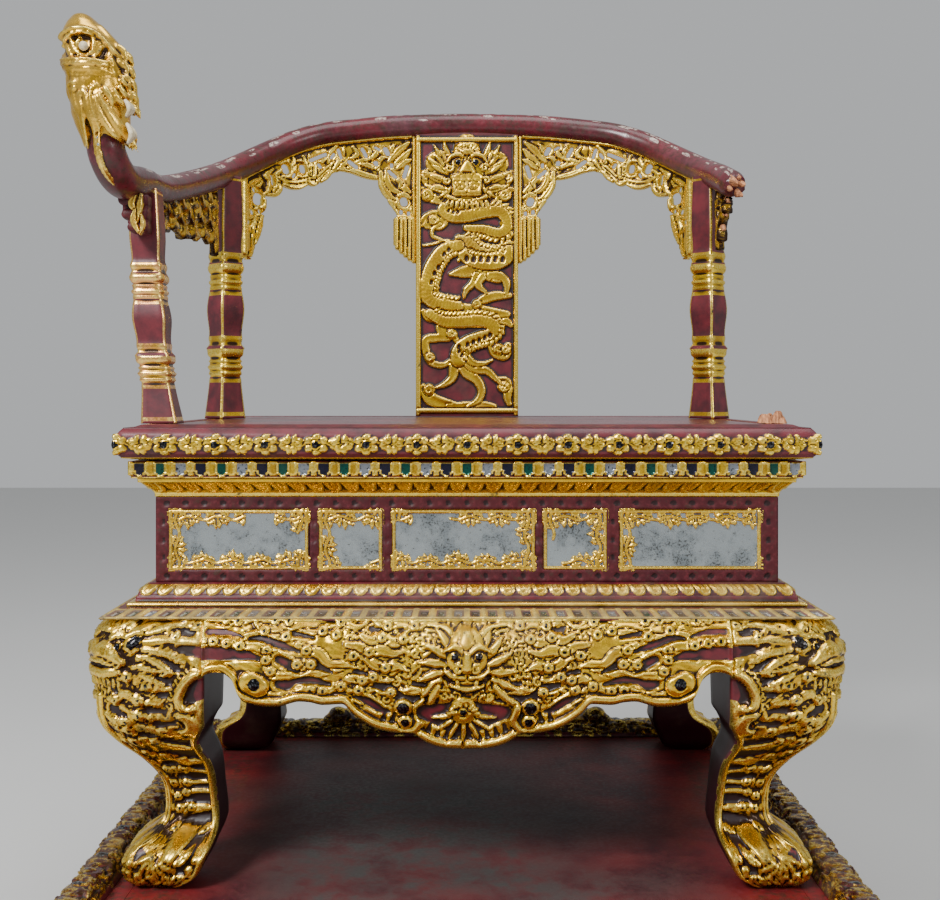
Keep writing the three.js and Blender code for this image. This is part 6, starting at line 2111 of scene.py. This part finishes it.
def fused(name, lump, voxel, material, replaces):
    """The lump as one closed skin, smoothed."""
    mesh = bpy.data.meshes.new(name)
    verts = np.vstack(lump.verts) + (0, THRONE_Y, 0)
    mesh.from_pydata((verts / MM).tolist(), [], lump.faces)
    mesh.update()
    obj = bpy.data.objects.new(name, mesh)
    bpy.context.scene.collection.objects.link(obj)
    remesh = obj.modifiers.new("fuse", "REMESH")
    remesh.mode = "VOXEL"
    remesh.voxel_size = voxel / MM
    smooth = obj.modifiers.new("smooth", "SMOOTH")
    smooth.iterations = 2
    smooth.factor = 0.4
    depsgraph = bpy.context.evaluated_depsgraph_get()
    skin = bpy.data.meshes.new_from_object(obj.evaluated_get(depsgraph))
    skin.name = name
    points = np.empty(len(skin.vertices) * 3, np.float32)
    skin.vertices.foreach_get("co", points)
    skin.vertices.foreach_set("co", np.clip(points.reshape(-1, 3),
                                            *START_BOUNDS).astype(np.float32).ravel())
    obj.modifiers.clear()
    obj.data = skin
    bpy.data.meshes.remove(mesh)
    skin.materials.clear()
    skin.materials.append(material)
    set_attribute(skin, "gold", np.ones(len(skin.vertices)))
    finish_mesh(skin)
    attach(obj, "root")
    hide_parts(*replaces)
    return obj


fused("dragon_head", dragon_head(), 1.75, CARVED_HEAD, ["arm_rail"])
pearl = Lump()
pearl.ball(head_point(-8, -36, 32), (5.2, 5.2, 5.2))
pearl.ball(head_point(-8, 36, 32), (5.2, 5.2, 5.2))
make_mesh("dragon_pearl_bead", np.vstack(pearl.verts), pearl.faces, CREAM, replaces=["dragon_pearl"])
beads = Lump()
for x, y, z in ((3, -24, -66), (4, -23, -74), (5, -20.5, -84), (8, -14, -95)):
    beads.ball(head_point(x, y, z), (2.3, 2.0, 3.2))
make_mesh("neck_beads", np.vstack(beads.verts), beads.faces, OLD_MIRROR, replaces=["arm_rail"])
for place, x, z, reach in (("upper", 37, -34, 9), ("lower", 39, -62, 11)):
    curl = Lump()
    for k in range(3):
        curl.rope([head_point(x - 4 + k, -16 - 3 * k, z - reach),
                   head_point(x + 5 - k, -19 - 3.4 * k, z - 1),
                   head_point(x - 2, -21 - 3 * k, z + reach)], (3, 6.5, 3.5))
    fused(f"dragon_tusk_{place}_curl", curl, 1.1, CREAM, [f"dragon_tusk_{place}"])


# ---------- the platform ----------
PLATFORM_DROP = -130.0       # the platform is deeper than wide
PLATFORM_Y = -THRONE_Y       # its middle, from the throne's centre line
platform_profile = np.vstack([
    smooth_path([(447, 0.2), (456, 12), (460, 26), (459, 34), (452, 42)], 5)[:-1],
    smooth_path([(452, 42), (440, 47), (429, 54), (425.5, 62)], 4)[:-1],
    fine_profile([[425.5, 62], [422, 128]], 11)[:-1],
    smooth_path([(422, 128), (426, 140), (438, 147), (448, 151)], 4)[:-1],
    smooth_path([(448, 151), (457, 158), (460, 168), (460, 176)], 4)[:-1],
    fine_profile([[460, 176], [460, 199], [459, 200], [392, 200]], 9),
])


def platform_pattern(u, half_length, v, quarter):
    field = plain(u, v)
    z = platform_profile[:, 1]
    sides = ((z > 66) & (z < 124))[:, None]
    count = 3 if quarter % 2 == 0 else 4
    local = (u + half_length) / (2 * half_length) * count
    across = np.abs(local - np.floor(local) - 0.5) * 2 * (half_length / count)
    inside = np.minimum(half_length / count - 26 - across[None, :], np.minimum(z - 74, 118 - z)[:, None])
    field["height"] = np.where(sides, -3.0 * smoothstep(0, 4, inside), 0.0)
    return field


ring_mesh("platform_frame", platform_profile, DECK_LACQUER, platform_pattern, 18.0, 390,
          replaces=["platform"],
          sharp=40, drop=PLATFORM_DROP, middle_y=PLATFORM_Y)
deck_x, deck_y = 389.6, 389.6 - PLATFORM_DROP
deck_rows, deck_cols = 70, 50
x, y = np.meshgrid(np.linspace(-deck_x, deck_x, deck_cols), np.linspace(-deck_y, deck_y, deck_rows))
top = np.stack([x, y + PLATFORM_Y, 200 - 0.15 + 0.0 * x], axis=-1)
under = top.copy()
under[..., 2] = 171
verts, faces, rim_points = plate_mesh(top, under)
wander = 60 * noise_1d(x / 90 + 7, 21) + 50 * noise_1d(y / 120 + 3, 22)
grime = np.exp(-((x + 30 + wander) / 250) ** 4) * smoothstep(-330, -130, y + wander)
grime = grime * (1 - 0.55 * smoothstep(180, 420, y))
padding = np.zeros(len(rim_points))
extra = {"grime": np.concatenate([grime.ravel(), 0.3 * np.ones(grime.size), padding])[:len(verts)]}
make_mesh("platform_deck", verts, faces, DECK_LACQUER, extra, replaces=["platform"], sharp=30)


# ---------- carved borders of the platform ----------
def border_relief(length, seed):
    """Scrolls, leaves, beads and small mirrors along a border: (distance along, distance over its back)."""
    r = Relief(0, length, 0, 96, 1.6)
    small_curls(r, 4, length, 4, 94, 15, seed)
    rng = np.random.default_rng(seed)
    for k in range(int(length / 46)):
        x = 23 + 46 * k
        hand = 1 if k % 2 else -1
        stream(r, [(x - 26, 48 - hand * 22), (x - 10, 50 + hand * 14), (x + 8, 48 - hand * 10),
                   (x + 26, 48 + hand * 22)], 13, 6, 1.5)
        r.spiral(x + 6, 48 - hand * 22, 11, 1.3, rng.random() * 6, hand, 6.5, 6.0, 1.5)
        r.leaf(x - 12, 48 + hand * 26, hand * 0.6, 26, 10, 5.5, 1.5, -0.5 * hand)
        if k % 2:
            r.stud(x, 48 + hand * 4, 6.5, 5, 3)
        else:
            cups(r, [(x - 4, 50 - hand * 4)], 9, 6, 2)
    return r


def border(name, start, along, out, length, relief, material, wide, high):
    """A half-round carved border laid along one edge of the deck."""
    count = int(length / 3.3)
    turns = 30
    s = np.linspace(0, length, count)[None, :]
    angle = np.linspace(0.02, math.pi - 0.02, turns)[:, None]
    marks = relief.read(np.broadcast_to(s, (turns, count)),
                        np.broadcast_to(angle / math.pi * 96, (turns, count)))
    ends = smoothstep(0, 5, s) * smoothstep(0, 5, length - s)
    swell = 1.0 + 0.06 * noise_1d(s / 60 + 3, 5)
    lift = (marks["height"] - 7.0) * smoothstep(0, 0.35, angle) * smoothstep(0, 0.35, math.pi - angle) * 0.8
    c, q = np.cos(angle), np.sin(angle)
    w = (wide / 2 - 1 + lift) * np.sign(c) * np.abs(c) ** 0.7 * (0.94 + 0.06 * ends)
    h = (high * swell - 1 + lift) * np.abs(q) ** 0.7 * (0.55 + 0.45 * ends)
    along, out, start = np.asarray(along, float), np.asarray(out, float), np.asarray(start, float)
    front = start + s[..., None] * along + w[..., None] * out + h[..., None] * np.array([0, 0, 1.0])
    back = front.copy()
    back[..., 2] = start[2]
    verts, faces, rim_points = plate_mesh(front, back)
    extra = {key: over_rim(marks[key], rim_points) for key in ("gold", "bead")}
    make_mesh(f"{name}_carving", verts, faces_out(verts, faces), material, extra, replaces=[name])


for side_name, sign in (("left", -1), ("right", 1)):
    low, high = node_box(f"platform_rim_{side_name}")
    low, high = low - (0, THRONE_Y, 0), high - (0, THRONE_Y, 0)
    length = high[1] - low[1]
    border(f"platform_rim_{side_name}", ((low[0] + high[0]) / 2, low[1], DECK + 0.3), (0, 1, 0),
           (-sign, 0, 0), length,
           border_relief(length, 41 + sign), CARVED_OLD, high[0] - low[0], high[2] - DECK - 1)
low, high = node_box("platform_rim_rear")
low, high = low - (0, THRONE_Y, 0), high - (0, THRONE_Y, 0)
rear_length = high[0] - low[0]
border("platform_rim_rear", (low[0], (low[1] + high[1]) / 2, DECK + 0.3), (1, 0, 0), (0, -1, 0),
       rear_length,
       border_relief(rear_length, 47), CARVED_DARK, high[1] - low[1], 26.0)


def resting_beast(x, y, z, hand):
    """A small crouching lion-dog on the rear border."""
    lump = Lump()
    lump.ball((x, y, z + 12), (42, 17, 13))
    lump.ball((x + hand * 34, y - 4, z + 27), (17, 15, 14))
    lump.ball((x + hand * 48, y - 8, z + 21), (11, 11, 8))
    lump.ball((x - hand * 30, y, z + 17), (20, 16, 13))
    for k in range(6):
        a = 0.7 + 0.45 * k
        lump.rope([(x + hand * 28, y, z + 28),
                   (x + hand * (28 - 14 * math.sin(a)), y - 10 * math.cos(a * 2), z + 32),
                   (x + hand * (28 - 24 * math.sin(a)), y - 14 * math.cos(a * 2), z + 26 - 4 * k)],
                   (9, 9, 3))
    for dx in (-26, 8, 30):
        lump.rope([(x + hand * dx, y - 10, z + 10), (x + hand * (dx + 10), y - 16, z + 4),
                   (x + hand * (dx + 20), y - 19, z + 2)], (10, 10, 8))
    lump.rope([(x - hand * 40, y, z + 16), (x - hand * 54, y + 3, z + 26), (x - hand * 60, y + 2, z + 34),
               (x - hand * 50, y, z + 38)], (10, 10, 8, 4))
    return lump


for number, share in enumerate((0.3, 0.7)):
    hand = 1 if number else -1
    beast = resting_beast(low[0] + rear_length * share, (low[1] + high[1]) / 2, DECK + 6, hand)
    fused(f"platform_beast_{number + 1}", beast, 2.4, CARVED_DARK, ["platform_rim_rear"])

# ---------- old mirrors in the waist ----------
for name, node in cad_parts.items():
    if name.startswith("mirror_"):
        node.data.materials.clear()
        node.data.materials.append(OLD_MIRROR)


# ---------- floor, light, camera ----------
def stage_and_camera():
    """A pale floor and soft studio light."""
    low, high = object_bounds()
    floor = bpy.data.meshes.new("floor")
    floor.from_pydata([(-9, -9, low[2]), (9, -9, low[2]), (9, 9, low[2]), (-9, 9, low[2])], [],
                      [(0, 1, 2, 3)])
    floor_object = bpy.data.objects.new("floor", floor)
    bpy.context.scene.collection.objects.link(floor_object)
    material, _, shader = new_material("pale_floor")
    shader.inputs["Base Color"].default_value = (0.62, 0.62, 0.61, 1)
    shader.inputs["Roughness"].default_value = 0.9
    floor.materials.append(material)
    world = bpy.data.worlds.new("studio")
    world.use_nodes = True
    world.node_tree.nodes["Background"].inputs[0].default_value = (0.93, 0.95, 0.97, 1)
    world.node_tree.nodes["Background"].inputs[1].default_value = 0.52
    bpy.context.scene.world = world
    for name, place, size, energy in (("key", (-1.9, -2.6, 3.0), 1.0, 190),
                                      ("fill", (2.6, -2.4, 2.0), 1.0, 32),
                                      ("top", (0.3, -0.3, 3.4), 1.6, 46)):
        lamp = bpy.data.lights.new(name, "AREA")
        lamp.size = size
        lamp.energy = energy
        lamp_object = bpy.data.objects.new(name, lamp)
        lamp_object.location = place
        towards = Vector((0, 0.2, 0.7)) - Vector(place)
        lamp_object.rotation_euler = towards.to_track_quat("-Z", "Y").to_euler()
        bpy.context.scene.collection.objects.link(lamp_object)


EYE_DISTANCE = 1790.0        # from the throne's centre line to the camera
EYE_HEIGHT = 574.0           # of the camera over the deck
FOCAL = 1268.0 / 940.0       # focal length as a share of the frame's width
HORIZON = 395.0 / 900.0      # how far down the frame the horizon lies
MIDDLE = 467.0 / 940.0       # how far across the frame the throne's centre line lies


def add_camera():
    camera = bpy.data.cameras.new("camera")
    camera.sensor_fit = "HORIZONTAL"
    camera.sensor_width = 36.0
    camera.lens = FOCAL * camera.sensor_width
    camera.shift_x = 0.5 - MIDDLE
    camera.shift_y = -(0.5 - HORIZON) * 900.0 / 940.0
    camera.clip_start = 0.05
    obj = bpy.data.objects.new("camera", camera)
    obj.location = (0, (THRONE_Y - EYE_DISTANCE) / MM, (DECK + EYE_HEIGHT) / MM)
    obj.rotation_euler = (math.pi / 2, 0, 0)
    bpy.context.scene.collection.objects.link(obj)
    bpy.context.scene.camera = obj


stage_and_camera()
add_camera()
